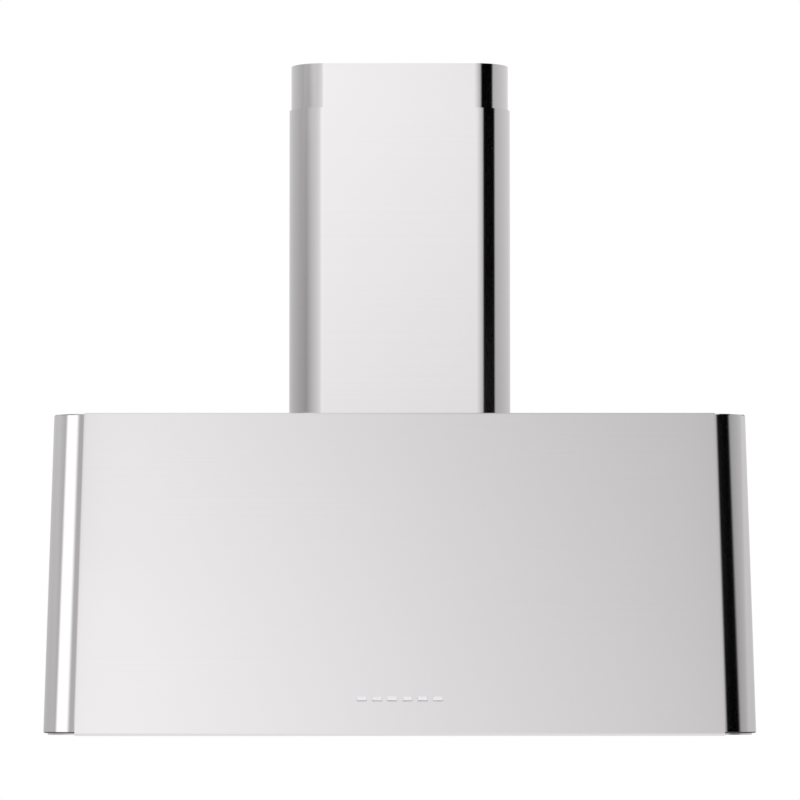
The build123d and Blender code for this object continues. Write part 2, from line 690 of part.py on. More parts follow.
# tray behind the front sheet that guides the buttons
with BuildPart() as switch_housing:
    with BuildSketch(front_plane(0, BUTTON_Z, HOUSING_FACE)):
        Rectangle(HOUSING_W, HOUSING_H)
    extrude(amount=-HOUSING_DEPTH)
    with BuildSketch(front_plane(0, BUTTON_Z, FLANGE_FACE)):
        Rectangle(HOUSING_W - 2 * HOUSING_WALL, HOUSING_H - 2 * HOUSING_WALL)
    extrude(amount=-HOUSING_DEPTH, mode=Mode.SUBTRACT)
    with BuildSketch(front_plane(0, BUTTON_Z, HOUSING_FACE)):
        with Locations((-HOUSING_SCREW_X, 0), (HOUSING_SCREW_X, 0)):
            Rectangle(HOUSING_LUG_W, HOUSING_H)
        with Locations((-HOUSING_SCREW_X, 0), (HOUSING_SCREW_X, 0)):
            Circle(M4_HOLE_R, mode=Mode.SUBTRACT)
    extrude(amount=-LUG_T)
    with BuildSketch(front_plane(0, BUTTON_Z, HOUSING_FACE)):
        with Locations([(x, 0) for x in BUTTON_X]):
            RectangleRounded(BUTTON_W + 2 * BUTTON_GAP, BUTTON_H + 2 * BUTTON_GAP, 0.6)
    extrude(amount=-HOUSING_WALL, mode=Mode.SUBTRACT)
save(switch_housing, "switch_housing")

# circuit board that closes the housing and carries one sealed switch per button
with BuildPart() as switch_board:
    with BuildSketch(front_plane(0, BUTTON_Z, BOARD_FACE)):
        Rectangle(HOUSING_W - 2 * HOUSING_WALL, HOUSING_H - 2 * HOUSING_WALL)
    extrude(amount=-BOARD_T)
    with BuildSketch(front_plane(0, BUTTON_Z, BOARD_FACE)):
        with Locations([(x, 0) for x in BUTTON_X]):
            Rectangle(SWITCH_BODY_W, SWITCH_BODY_W)
            Circle(STEM_R + 0.4, mode=Mode.SUBTRACT)
    extrude(amount=SWITCH_BODY_T)
save(switch_board, "switch_board")

# nuts on the studs that are welded behind the front sheet
with BuildPart() as housing_nuts:
    with BuildSketch(front_plane(0, BUTTON_Z, HOUSING_FACE - LUG_T)):
        with Locations((-HOUSING_SCREW_X, 0), (HOUSING_SCREW_X, 0)):
            RegularPolygon(M4_HEAD_R, 6)
    extrude(amount=-M4_HEAD_H)
    with BuildSketch(front_plane(0, BUTTON_Z, HOUSING_FACE)):
        with Locations((-HOUSING_SCREW_X, 0), (HOUSING_SCREW_X, 0)):
            Circle(M4_R)
    extrude(amount=-SCREW_L)
save(housing_nuts, "switch_housing_nuts")

# ---- blower -----------------------------------------------------------------

ARC_LOW = BLOWER_Z - SCROLL_STEP / 2
ARC_HIGH = BLOWER_Z + SCROLL_STEP / 2
ARC_FRONT = BLOWER_Y - SCROLL_STEP / 2
ARC_REAR = BLOWER_Y + SCROLL_STEP / 2


def scroll_outline(grow):
    """Spiral case in the YZ plane: three growing quarter arcs and a straight outlet."""
    front_wall = ARC_FRONT + TONGUE_R - grow
    rear_wall = ARC_REAR + SCROLL_R + 2 * SCROLL_STEP + grow
    tongue_z = ARC_LOW + SCROLL_R + TONGUE_R
    with BuildSketch() as outline:
        with BuildLine():
            Line((front_wall, PANEL_UNDER), (front_wall, tongue_z))
            CenterArc((ARC_FRONT, tongue_z), TONGUE_R - grow, 0, -90)
            CenterArc((ARC_FRONT, ARC_LOW), SCROLL_R + grow, 90, 90)
            CenterArc((ARC_REAR, ARC_LOW), SCROLL_R + SCROLL_STEP + grow, 180, 90)
            CenterArc((ARC_REAR, ARC_HIGH), SCROLL_R + 2 * SCROLL_STEP + grow, 270, 90)
            Line((rear_wall, ARC_HIGH), (rear_wall, PANEL_UNDER))
            Line((rear_wall, PANEL_UNDER), (front_wall, PANEL_UNDER))
        make_face()
    return outline.sketch


with BuildPart() as blower_scroll:
    with BuildSketch(Plane.YZ.offset(-SCROLL_HALF)):
        add(scroll_outline(SCROLL_SHEET))
    extrude(amount=SCROLL_W)
    with BuildSketch(Plane.YZ.offset(-SCROLL_HALF)):
        add(scroll_outline(0))
    extrude(amount=SCROLL_W, mode=Mode.SUBTRACT)
save(blower_scroll, "blower_scroll")


def blower_side(side):
    """Side wall of the case with its round inlet and a tab for the top panel."""
    with BuildPart() as wall:
        with BuildSketch(Plane.YZ.offset(side * SCROLL_HALF)):
            add(scroll_outline(SCROLL_RIM))
        extrude(amount=side * SHEET)
        with BuildSketch(Plane.YZ.offset(side * (SCROLL_HALF + SHEET))):
            with Locations((BLOWER_Y, BLOWER_Z)):
                Circle(INLET_R + SHEET)
        extrude(amount=-side * INLET_LIP)
        with BuildSketch(Plane.YZ.offset(side * (SCROLL_HALF + SHEET))):
            with Locations((BLOWER_Y, BLOWER_Z)):
                Circle(INLET_R)
        extrude(amount=-side * INLET_LIP, mode=Mode.SUBTRACT)
        with Locations((side * BLOWER_SCREW_X, BLOWER_TAB_Y, PANEL_UNDER)):
            Box(BLOWER_TAB, BLOWER_TAB_L, SHEET, align=(Align.CENTER, Align.CENTER, Align.MAX))
        with Locations([(side * BLOWER_SCREW_X, y, PANEL_UNDER) for y in BLOWER_SCREW_Y]):
            Hole(M4_HOLE_R, depth=2 * SHEET)
    return wall


save(blower_side(-1), "blower_left_side")
save(blower_side(1), "blower_right_side")

BLADE_TIP_R = IMPELLER_R - BLADE_T
BLADE_MID_R = (IMPELLER_ROOT_R + IMPELLER_R) / 2
with BuildSketch() as blade:
    with BuildLine():
        ThreePointArc((IMPELLER_ROOT_R, 0), (BLADE_MID_R, BLADE_BOW), (BLADE_TIP_R, BLADE_T))
        Line((BLADE_TIP_R, BLADE_T), (BLADE_TIP_R, 2 * BLADE_T))
        ThreePointArc(
            (BLADE_TIP_R, 2 * BLADE_T), (BLADE_MID_R, BLADE_BOW + BLADE_T), (IMPELLER_ROOT_R, BLADE_T)
        )
        Line((IMPELLER_ROOT_R, BLADE_T), (IMPELLER_ROOT_R, 0))
    make_face()

# two blade rings back to back on one disc
with BuildPart() as impeller:
    with BuildSketch(Plane.YZ.offset(-DISC_T / 2)):
        with Locations((BLOWER_Y, BLOWER_Z)):
            Circle(IMPELLER_R)
    extrude(amount=DISC_T)
    for end in (-IMPELLER_HALF, IMPELLER_HALF - RING_T):
        with BuildSketch(Plane.YZ.offset(end)):
            with Locations((BLOWER_Y, BLOWER_Z)):
                Circle(IMPELLER_R)
                Circle(IMPELLER_R - RING_W, mode=Mode.SUBTRACT)
        extrude(amount=RING_T)
    with BuildSketch(Plane.YZ.offset(-IMPELLER_HALF)):
        with Locations((BLOWER_Y, BLOWER_Z)):
            with PolarLocations(0, BLADES):
                add(blade.sketch)
    extrude(amount=2 * IMPELLER_HALF)
    with BuildSketch(Plane.YZ.offset(DISC_T / 2)):
        with Locations((BLOWER_Y, BLOWER_Z)):
            Circle(HUB_R)
    extrude(amount=-HUB_L)
    with BuildSketch(Plane.YZ.offset(DISC_T / 2)):
        with Locations((BLOWER_Y, BLOWER_Z)):
            Circle(SHAFT_R)
    extrude(amount=-HUB_L, mode=Mode.SUBTRACT)
save(impeller, "impeller")

with BuildPart() as motor_shaft:
    with BuildSketch(Plane.YZ.offset(-SHAFT_HALF)):
        with Locations((BLOWER_Y, BLOWER_Z)):
            Circle(SHAFT_R)
    extrude(amount=MOTOR_NEAR + SHAFT_HALF + SHAFT_IN_MOTOR)
save(motor_shaft, "motor_shaft")

MOTOR_FAR = MOTOR_NEAR + MOTOR_L
with BuildPart() as blower_motor:
    with BuildSketch(Plane.YZ.offset(MOTOR_NEAR)):
        with Locations((BLOWER_Y, BLOWER_Z)):
            Circle(MOTOR_R)
    extrude(amount=MOTOR_L)
    fillet(blower_motor.edges().filter_by(GeomType.CIRCLE), MOTOR_EDGE_R)
    with BuildSketch(Plane.YZ.offset(MOTOR_NEAR - MOTOR_BOSS_H)):
        with Locations((BLOWER_Y, BLOWER_Z)):
            Circle(MOTOR_BOSS_R)
    extrude(amount=MOTOR_BOSS_H + MOTOR_EDGE_R)
    with BuildSketch(Plane.YZ.offset(MOTOR_NEAR - MOTOR_BOSS_H)):
        with Locations((BLOWER_Y, BLOWER_Z)):
            Circle(SHAFT_R + SHAFT_FIT)
    extrude(amount=MOTOR_BOSS_H + SHAFT_BORE_L, mode=Mode.SUBTRACT)
save(blower_motor, "blower_motor")

# three-armed plate that holds the motor in the right-hand inlet
with BuildPart() as motor_spider:
    with BuildSketch(Plane.YZ.offset(MOTOR_FAR)):
        with Locations((BLOWER_Y, BLOWER_Z)):
            Circle(MOTOR_R - SPIDER_HUB_INSET)
            with PolarLocations(SPIDER_REACH / 2, 3, start_angle=90):
                Rectangle(SPIDER_REACH, SPIDER_ARM)
            with PolarLocations(SPIDER_FOOT_R, 3, start_angle=90):
                Circle(M4_HOLE_R, mode=Mode.SUBTRACT)
    extrude(amount=SPIDER_T)
    with BuildSketch(Plane.YZ.offset(SCROLL_HALF + SHEET)):
        with Locations((BLOWER_Y, BLOWER_Z)):
            with PolarLocations(SPIDER_FOOT_R, 3, start_angle=90):
                Circle(SPIDER_ARM / 2 - SPIDER_FOOT_INSET)
                Circle(M4_HOLE_R, mode=Mode.SUBTRACT)
    extrude(amount=MOTOR_FAR - SCROLL_HALF - SHEET)
save(motor_spider, "motor_spider")

# ---- duct collar and non-return flaps ---------------------------------------

with BuildPart() as duct_collar:
    with BuildSketch(Plane.XY.offset(PANEL_TOP)):
        with Locations((0, DUCT_Y)):
            Circle(DUCT_FLANGE_R)
            with PolarLocations(COLLAR_SCREW_R, 4, start_angle=45):
                Circle(M4_HOLE_R, mode=Mode.SUBTRACT)
    extrude(amount=SHEET)
    with BuildSketch(Plane.XY.offset(PANEL_TOP)):
        with Locations((0, DUCT_Y)):
            Circle(DUCT_R)
    extrude(amount=DUCT_H)
    with BuildSketch(Plane.XY.offset(PANEL_TOP)):
        with Locations((0, DUCT_Y)):
            Circle(DUCT_R - SHEET)
    extrude(amount=DUCT_H, mode=Mode.SUBTRACT)
    with BuildSketch(Plane.YZ.offset(-DUCT_R)):
        with Locations((DUCT_Y - FLAP_SPLIT, FLAP_Z), (DUCT_Y + FLAP_SPLIT, FLAP_Z)):
            Circle(FLAP_ROD_R + FLAP_ROD_FIT)
    extrude(amount=2 * DUCT_R, mode=Mode.SUBTRACT)
save(duct_collar, "duct_collar")


def duct_flap(side):
    """Half-round flap on its own rod; side is -1 for the front half, +1 for the rear half."""
    rod_y = DUCT_Y + side * FLAP_SPLIT
    with BuildPart() as flap:
        with BuildSketch(Plane.XY.offset(FLAP_Z - FLAP_T / 2)):
            with Locations((0, DUCT_Y)):
                Circle(DUCT_R - SHEET - FLAP_GAP)
            with Locations((0, rod_y)):
                Rectangle(
                    2 * DUCT_R,
                    DUCT_R,
                    align=(Align.CENTER, Align.MIN if side > 0 else Align.MAX),
                    mode=Mode.INTERSECT,
                )
        extrude(amount=FLAP_T)
        with BuildSketch(Plane.YZ.offset(-DUCT_R + FLAP_ROD_INSET)):
            with Locations((rod_y, FLAP_Z)):
                Circle(FLAP_ROD_R)
        extrude(amount=2 * (DUCT_R - FLAP_ROD_INSET))
    return flap


save(duct_flap(-1), "front_duct_flap")
save(duct_flap(1), "rear_duct_flap")

# ---- chimney ----------------------------------------------------------------

SCREW_SIDE_Z = PANEL_TOP + LOCATOR_H / 2

with BuildPart() as lower_chimney:
    with BuildSketch(Plane.XY.offset(PANEL_TOP)):
        add(cover_section(CHIMNEY_W, -CHIMNEY_D, 0, CHIMNEY_R, CHIMNEY_SHEET))
    extrude(amount=LOWER_TOP_Z - PANEL_TOP)
    with Locations((0, 0, PANEL_TOP)):
        Box(CHIMNEY_W, 4 * SHEET, 2 * (SHEET + BACK_NOTCH), mode=Mode.SUBTRACT)
    with BuildSketch(Plane.YZ.offset(-CHIMNEY_W / 2)):
        with Locations((COVER_SCREW_Y, SCREW_SIDE_Z)):
            Circle(M4_HOLE_R)
    extrude(amount=CHIMNEY_W, mode=Mode.SUBTRACT)
save(lower_chimney, "lower_chimney")

LOCATOR_W = CHIMNEY_W - 2 * (CHIMNEY_SHEET + LOCATOR_GAP)
LOCATOR_R = CHIMNEY_R - CHIMNEY_SHEET - LOCATOR_GAP

# bent strip inside the lower cover: feet on the top panel, lugs that the upper cover rests on
with BuildPart() as chimney_locator:
    with BuildSketch(Plane.XY.offset(PANEL_TOP)):
        add(cover_section(LOCATOR_W, LOCATOR_FRONT_Y, -LOCATOR_REAR, LOCATOR_R, SHEET))
    extrude(amount=LOCATOR_H)
    with Locations((0, LOCATOR_FRONT_Y + SHEET / 2, PANEL_TOP)):
        Box(
            LOCATOR_FOOT_W,
            LOCATOR_FOOT,
            SHEET,
            align=(Align.CENTER, Align.MIN, Align.MIN),
        )
    with Locations((0, LOCATOR_FRONT_Y + SHEET / 2, PANEL_TOP + LOCATOR_H - SHEET)):
        Box(LUG_FRONT_W, LUG, SHEET, align=(Align.CENTER, Align.MIN, Align.MIN))
    for side in (-1, 1):
        with Locations((side * (LOCATOR_W / 2 - SHEET / 2), DUCT_Y, PANEL_TOP + LOCATOR_H - SHEET)):
            Box(
                LUG,
                LUG_SIDE_W,
                SHEET,
                align=(Align.MAX if side > 0 else Align.MIN, Align.CENTER, Align.MIN),
            )
    with Locations(
        (-LOCATOR_SCREW_X, LOCATOR_FOOT_Y, PANEL_TOP + SHEET),
        (LOCATOR_SCREW_X, LOCATOR_FOOT_Y, PANEL_TOP + SHEET),
    ):
        Hole(M4_HOLE_R, depth=SHEET)
    with BuildSketch(Plane.YZ.offset(-CHIMNEY_W / 2)):
        with Locations((COVER_SCREW_Y, SCREW_SIDE_Z)):
            Circle(M4_HOLE_R)
    extrude(amount=CHIMNEY_W, mode=Mode.SUBTRACT)
save(chimney_locator, "chimney_locator")

side_places = [
    Plane(origin=(s * CHIMNEY_W / 2, COVER_SCREW_Y, SCREW_SIDE_Z), x_dir=(0, 1, 0), z_dir=(s, 0, 0))
    for s in (-1, 1)
]
foot_places = [
    Plane((s * LOCATOR_SCREW_X, LOCATOR_FOOT_Y, PANEL_TOP + SHEET)) for s in (-1, 1)
]
save(screws(side_places + foot_places), "chimney_screws")

with BuildPart() as upper_chimney:
    with BuildSketch(Plane.XY.offset(UPPER_BOTTOM_Z)):
        add(cover_section(UPPER_W, UPPER_FRONT_Y, UPPER_REAR_Y, UPPER_R, CHIMNEY_SHEET))
    extrude(amount=UPPER_TOP_Z - UPPER_BOTTOM_Z)
    with BuildSketch(Plane.YZ.offset(-UPPER_W / 2)):
        with Locations([(DUCT_Y, VENT_Z + i * VENT_PITCH) for i in range(VENT_COUNT)]):
            SlotOverall(VENT_L, VENT_H)
        with Locations((BRACKET_SCREW_Y, CEILING_BRACKET_Z)):
            Circle(M4_HOLE_R)
    extrude(amount=UPPER_W, mode=Mode.SUBTRACT)
save(upper_chimney, "upper_chimney")

# bracket that fastens the raised upper cover to the wall
BRACKET_HALF = UPPER_W / 2 - CHIMNEY_SHEET
BRACKET_Y = UPPER_REAR_Y - CHIMNEY_SHEET
with BuildPart() as ceiling_bracket:
    with BuildSketch(Plane.XY.offset(CEILING_BRACKET_Z - CEILING_BRACKET_H / 2)):
        with BuildLine():
            Polyline(
                (-BRACKET_HALF, BRACKET_Y - BRACKET_ARM),
                (-BRACKET_HALF, BRACKET_Y),
                (-BRACKET_HALF + BRACKET_EAR, BRACKET_Y),
                (-BRACKET_HALF + BRACKET_EAR + BRACKET_JOG, 0),
                (BRACKET_HALF - BRACKET_EAR - BRACKET_JOG, 0),
                (BRACKET_HALF - BRACKET_EAR, BRACKET_Y),
                (BRACKET_HALF, BRACKET_Y),
                (BRACKET_HALF, BRACKET_Y - BRACKET_ARM),
            )
            offset(amount=CEILING_BRACKET_T, side=Side.RIGHT, kind=Kind.INTERSECTION)
        make_face()
    extrude(amount=CEILING_BRACKET_H)
    with BuildSketch(Plane.XZ):
        with Locations((-CEILING_HOLE_X, CEILING_BRACKET_Z), (CEILING_HOLE_X, CEILING_BRACKET_Z)):
            Circle(CEILING_HOLE_R)
    extrude(amount=3 * CEILING_BRACKET_T, mode=Mode.SUBTRACT)
    with BuildSketch(Plane.YZ.offset(-UPPER_W / 2)):
        with Locations((BRACKET_SCREW_Y, CEILING_BRACKET_Z)):
            Circle(M4_HOLE_R)
    extrude(amount=UPPER_W, mode=Mode.SUBTRACT)
save(ceiling_bracket, "ceiling_bracket")

# flat heads, low enough to pass inside the lower cover
with BuildPart() as bracket_screws:
    for side in (-1, 1):
        with BuildSketch(Plane.YZ.offset(side * UPPER_W / 2)):
            with Locations((BRACKET_SCREW_Y, CEILING_BRACKET_Z)):
                Circle(M4_HEAD_R)
        extrude(amount=side * (CHIMNEY_GAP - BRACKET_HEAD_GAP))
        with BuildSketch(Plane.YZ.offset(side * UPPER_W / 2)):
            with Locations((BRACKET_SCREW_Y, CEILING_BRACKET_Z)):
                Circle(M4_R)
        extrude(amount=-side * BRACKET_SCREW_L)
save(bracket_screws, "ceiling_bracket_screws")

# ---- electrics --------------------------------------------------------------

with BuildPart() as cable_gland:
    with BuildSketch(Plane.XZ):
        with Locations((BOX_X, INLET_Z)):
            Circle(GLAND_R)
    extrude(amount=SHEET)
    with BuildSketch(Plane.XZ.offset(SHEET)):
        with Locations((BOX_X, INLET_Z)):
            RegularPolygon(GLAND_NUT_R, 6)
    extrude(amount=GLAND_NUT_T)
    with BuildSketch(Plane.XZ.offset(SHEET + GLAND_NUT_T)):
        with Locations((BOX_X, INLET_Z)):
            Circle(GLAND_R)
    extrude(amount=GLAND_TAIL)
    with BuildSketch(Plane.XZ):
        with Locations((BOX_X, INLET_Z)):
            Circle(GLAND_BORE_R)
    extrude(amount=2 * (SHEET + GLAND_NUT_T + GLAND_TAIL), mode=Mode.SUBTRACT)
save(cable_gland, "cable_gland")

with BuildPart() as terminal_box:
    with Locations((BOX_X, BOX_Y, PANEL_UNDER)):
        Box(BOX_W, BOX_L, BOX_H, align=(Align.CENTER, Align.CENTER, Align.MAX))
    with Locations((BOX_X, BOX_Y, PANEL_UNDER - BOX_WALL)):
        Box(
            BOX_W - 2 * BOX_WALL,
            BOX_L - 2 * BOX_WALL,
            BOX_H,
            align=(Align.CENTER, Align.CENTER, Align.MAX),
            mode=Mode.SUBTRACT,
        )
    with BuildSketch(Plane.XZ.offset(-BOX_Y - BOX_L / 2 - BOX_WALL)):
        with Locations((BOX_X, INLET_Z)):
            Circle(BOX_ENTRY_R)
    extrude(amount=BOX_WALL * 2, mode=Mode.SUBTRACT)
    with Locations(
        (BOX_X - BOX_POST_X, BOX_Y, PANEL_UNDER - BOX_WALL),
        (BOX_X + BOX_POST_X, BOX_Y, PANEL_UNDER - BOX_WALL),
    ):
        Cylinder(BOX_POST_R, BOX_H - BOX_WALL, align=(Align.CENTER, Align.CENTER, Align.MAX))
        Cylinder(
            M4_R + SHAFT_FIT, BOX_H, align=(Align.CENTER, Align.CENTER, Align.MAX), mode=Mode.SUBTRACT
        )
save(terminal_box, "terminal_box")

with BuildPart() as terminal_cover:
    with Locations((BOX_X, BOX_Y, PANEL_UNDER - BOX_H)):
        Box(BOX_W, BOX_L, BOX_WALL, align=(Align.CENTER, Align.CENTER, Align.MAX))
    with Locations(
        (BOX_X - BOX_POST_X, BOX_Y, PANEL_UNDER - BOX_H),
        (BOX_X + BOX_POST_X, BOX_Y, PANEL_UNDER - BOX_H),
    ):
        Hole(M4_HOLE_R, depth=BOX_WALL)
save(terminal_cover, "terminal_cover")

SIGNS = (-1, 1)
DIAGONAL = COLLAR_SCREW_R / sqrt(2)
blower_places = [
    Plane(origin=(s * BLOWER_SCREW_X, y, PANEL_UNDER - SHEET), z_dir=(0, 0, -1))
    for s in SIGNS
    for y in BLOWER_SCREW_Y
]
collar_places = [
    Plane((s * DIAGONAL, DUCT_Y + t * DIAGONAL, PANEL_TOP + SHEET)) for s in SIGNS for t in SIGNS
]
cover_places = [
    Plane(origin=(BOX_X + s * BOX_POST_X, BOX_Y, PANEL_UNDER - BOX_H - BOX_WALL), z_dir=(0, 0, -1))
    for s in SIGNS
]
save(screws(blower_places + collar_places + cover_places), "top_panel_screws")

# row of screw terminals inside the box
with BuildPart() as terminal_block:
    with Locations((BOX_X, BOX_Y, PANEL_UNDER - BOX_WALL)):
        Box(BLOCK_L, BLOCK_W, BLOCK_H, align=(Align.CENTER, Align.CENTER, Align.MAX))
    with Locations((BOX_X, BOX_Y, PANEL_UNDER - BOX_WALL - BLOCK_H)):
        with GridLocations(POLE_PITCH, POLE_ROWS, 5, 2):
            Cylinder(POLE_R, 2 * POLE_DEPTH, mode=Mode.SUBTRACT)
save(terminal_block, "terminal_block")

with BuildPart() as lamp_driver:
    with Locations((BOX_X, DRIVER_Y, PANEL_UNDER)):
        Box(BOX_W, DRIVER_L, DRIVER_H, align=(Align.CENTER, Align.CENTER, Align.MAX))
    fillet(lamp_driver.edges().filter_by(Axis.Z), DRIVER_CORNER_R)
    fillet(lamp_driver.edges().group_by(Axis.Z)[0], DRIVER_EDGE_R)
save(lamp_driver, "lamp_driver")

CAP_Z = PANEL_UNDER - CAP_R - STRAP_T - CAP_GAP
STRAP_IN = CAP_R + 0.1
with BuildPart() as motor_capacitor:
    with BuildSketch(Plane.YZ.offset(CAP_X - CAP_L / 2)):
        with Locations((CAP_Y, CAP_Z)):
            Circle(CAP_R)
    extrude(amount=CAP_L)
    fillet(motor_capacitor.edges().filter_by(GeomType.CIRCLE), CAP_EDGE_R)
save(motor_capacitor, "motor_capacitor")

# strap that holds the capacitor under the top panel
with BuildPart() as capacitor_strap:
    with BuildSketch(Plane.YZ.offset(CAP_X - STRAP_W / 2)):
        with Locations((CAP_Y, CAP_Z)):
            Circle(STRAP_IN + STRAP_T)
            Rectangle(2 * (STRAP_IN + STRAP_T), PANEL_UNDER - CAP_Z, align=(Align.CENTER, Align.MIN))
        with Locations((CAP_Y, PANEL_UNDER)):
            Rectangle(2 * (STRAP_IN + STRAP_FOOT), STRAP_T, align=(Align.CENTER, Align.MAX))
        with Locations((CAP_Y, CAP_Z)):
            Circle(STRAP_IN, mode=Mode.SUBTRACT)
            Rectangle(2 * STRAP_IN, CAP_R * 2, align=(Align.CENTER, Align.MIN), mode=Mode.SUBTRACT)
    extrude(amount=STRAP_W)
save(capacitor_strap, "capacitor_strap")

# ---- wiring -----------------------------------------------------------------


def cable(*points):
    """Round cable that runs straight between the points and turns gently at each."""
    with BuildPart() as run:
        with BuildLine() as route:
            FilletPolyline(*points, radius=CABLE_BEND_R)
        with BuildSketch(Plane(origin=route.line @ 0, z_dir=route.line % 0)):
            RegularPolygon(CABLE_R, CABLE_SIDES)
        sweep()
    return run.part


BOARD_REAR = BOARD_FACE - BOARD_T
WIRE_X = -2.1 * BUTTON_PITCH  # where the cable leaves the switch board
driver_z = PANEL_UNDER - DRIVER_H / 2
driver_front = DRIVER_Y - DRIVER_L / 2
driver_under = PANEL_UNDER - DRIVER_H - CABLE_BEND_R
box_front = BOX_Y - BOX_L / 2
box_right = BOX_X + BOX_W / 2
box_z = PANEL_UNDER - BOX_H + CABLE_BEND_R
lamp_top = NECK_TOP + HEATSINK_H
cable_z = PANEL_UNDER - LIP_TOP
cap_end = CAP_X + CAP_L / 2
cap_start = CAP_X - CAP_L / 2
climb_z = BLOWER_Z + CABLE_STEP
high_z = BLOWER_Z + 3 * CABLE_STEP
scroll_front = BLOWER_Y - SCROLL_STEP - SCROLL_R
blower_right = SCROLL_HALF + BLOWER_TAB


def behind_front(x, z):
    """Point at height z behind the leaning sheet, clear of it."""
    return (x, front_y(z) + FRONT_CLEAR, z)


# switches, both lamps and motor to the boxes under the top panel
with BuildPart() as wiring:
    add(
        cable(
            tuple(front_plane(WIRE_X, BUTTON_Z, BOARD_REAR).origin),
            tuple(front_plane(WIRE_X, BUTTON_Z, BOARD_REAR - 0.7 * CABLE_STEP).origin),
            behind_front(2.5 * WIRE_X, BUTTON_Z + CABLE_STEP),
            behind_front(BOX_X + CABLE_SPREAD, climb_z),
            (BOX_X + CABLE_SPREAD, driver_front - CABLE_STEP, driver_under),
            (BOX_X + CABLE_SPREAD, DRIVER_Y + DRIVER_L / 4, driver_under),
            (BOX_X + CABLE_SPREAD, box_front - CABLE_BEND_R, box_z),
            (BOX_X + CABLE_SPREAD, box_front, box_z),
        )
    )
    add(
        cable(
            (-LAMP_X, LAMP_Y, lamp_top),
            (-LAMP_X, LAMP_Y, lamp_top + CABLE_STEP),
            behind_front(BOX_X - CABLE_SPREAD, high_z - CABLE_STEP / 2),
            (BOX_X - CABLE_SPREAD, driver_front - CABLE_STEP, driver_z),
            (BOX_X - CABLE_SPREAD, driver_front, driver_z),
        )
    )
    add(
        cable(
            (LAMP_X, LAMP_Y, lamp_top),
            (LAMP_X, LAMP_Y, lamp_top + CABLE_STEP),
            behind_front(LAMP_X - 2 * CABLE_SPREAD, high_z),
            (blower_right + CABLE_SPREAD, scroll_front + CABLE_STEP, cable_z),
            (-blower_right - CABLE_SPREAD, scroll_front + CABLE_STEP, cable_z),
            (box_right + CABLE_STEP, DRIVER_Y, driver_z),
            (box_right, DRIVER_Y, driver_z),
        )
    )
    add(
        cable(
            (cap_start, CAP_Y, CAP_Z),
            (cap_start - CABLE_STEP, CAP_Y, CAP_Z),
            (blower_right, scroll_front + 2.2 * CABLE_STEP, cable_z),
            (-blower_right, scroll_front + 2.2 * CABLE_STEP, cable_z),
            (box_right + CABLE_STEP, BOX_Y, PANEL_UNDER - CABLE_BEND_R),
            (box_right, BOX_Y, PANEL_UNDER - CABLE_BEND_R),
        )
    )
    add(
        cable(
            (MOTOR_FAR + SPIDER_T, BLOWER_Y + MOTOR_R / 2, BLOWER_Z),
            (MOTOR_FAR + 1.3 * CABLE_STEP, BLOWER_Y + MOTOR_R / 2, BLOWER_Z),
            (cap_end + CABLE_STEP, (BLOWER_Y + CAP_Y) / 2, high_z + CABLE_STEP),
            (cap_end + CABLE_STEP, CAP_Y, CAP_Z),
            (cap_end, CAP_Y, CAP_Z),
        )
    )
save(wiring, "wiring")
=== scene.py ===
import math

import bmesh
import bpy
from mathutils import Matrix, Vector


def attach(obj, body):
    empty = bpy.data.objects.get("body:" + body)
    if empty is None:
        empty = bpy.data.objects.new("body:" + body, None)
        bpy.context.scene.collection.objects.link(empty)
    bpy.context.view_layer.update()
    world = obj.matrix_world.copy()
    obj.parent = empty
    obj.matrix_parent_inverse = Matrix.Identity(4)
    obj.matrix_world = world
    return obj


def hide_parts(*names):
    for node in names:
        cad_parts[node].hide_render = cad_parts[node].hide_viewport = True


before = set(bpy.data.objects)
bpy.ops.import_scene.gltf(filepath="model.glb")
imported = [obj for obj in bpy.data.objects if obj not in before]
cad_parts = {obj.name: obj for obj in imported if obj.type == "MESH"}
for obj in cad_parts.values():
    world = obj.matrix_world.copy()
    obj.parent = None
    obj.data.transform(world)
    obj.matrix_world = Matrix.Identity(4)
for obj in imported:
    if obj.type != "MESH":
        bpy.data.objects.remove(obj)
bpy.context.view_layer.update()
print("frame loaded")

# the hood's driving sizes in metres, and how finely its bends are cut
hood = {
    "width": 0.900,
    "depth": 0.501,
    "canopyHeight": 0.416,
    "setback": 0.175,
    "cornerRadius": 0.042,
    "sheet": 0.0012,
    "bendRadius": 0.0027,
    "bottomLip": 0.022,
    "topLip": 0.020,
    "rawEdge": 0.0037,
    "topRawEdge": 0.0028,
    "edgeChamfer": 0.0013,
    "rearFlange": 0.0188,
    "rearFlangeZ": 0.03,
    "seamStrip": 0.004,  # narrow faces beside each rounded corner keep the flat front flat
    "lowLevel": 0.02,
    "highLevels": [0.07, 0.16, 0.25, 0.34],
    "bendSteps": 8,
    "cornerSteps": 40,
}
slope = hood["setback"] / hood["canopyHeight"]
lean = math.atan(slope)
flatHalf = hood["width"] / 2 - hood["cornerRadius"]


def frontY(z):
    return -hood["depth"] + slope * z


# materials: each function returns a node material named for its finish


def newFinish(name):
    finish = bpy.data.materials.new(name)
    finish.use_nodes = True
    nodes = finish.node_tree.nodes
    links = finish.node_tree.links
    return finish, nodes, links, nodes["Principled BSDF"]


def placedNoise(nodes, links, stretch, scale, detail, roughness=0.5):
    coords = nodes.new("ShaderNodeTexCoord")
    mapping = nodes.new("ShaderNodeMapping")
    mapping.inputs["Scale"].default_value = stretch
    noise = nodes.new("ShaderNodeTexNoise")
    noise.inputs["Scale"].default_value = scale
    noise.inputs["Detail"].default_value = detail
    noise.inputs["Roughness"].default_value = roughness
    links.new(coords.outputs["Object"], mapping.inputs["Vector"])
    links.new(mapping.outputs["Vector"], noise.inputs["Vector"])
    return noise


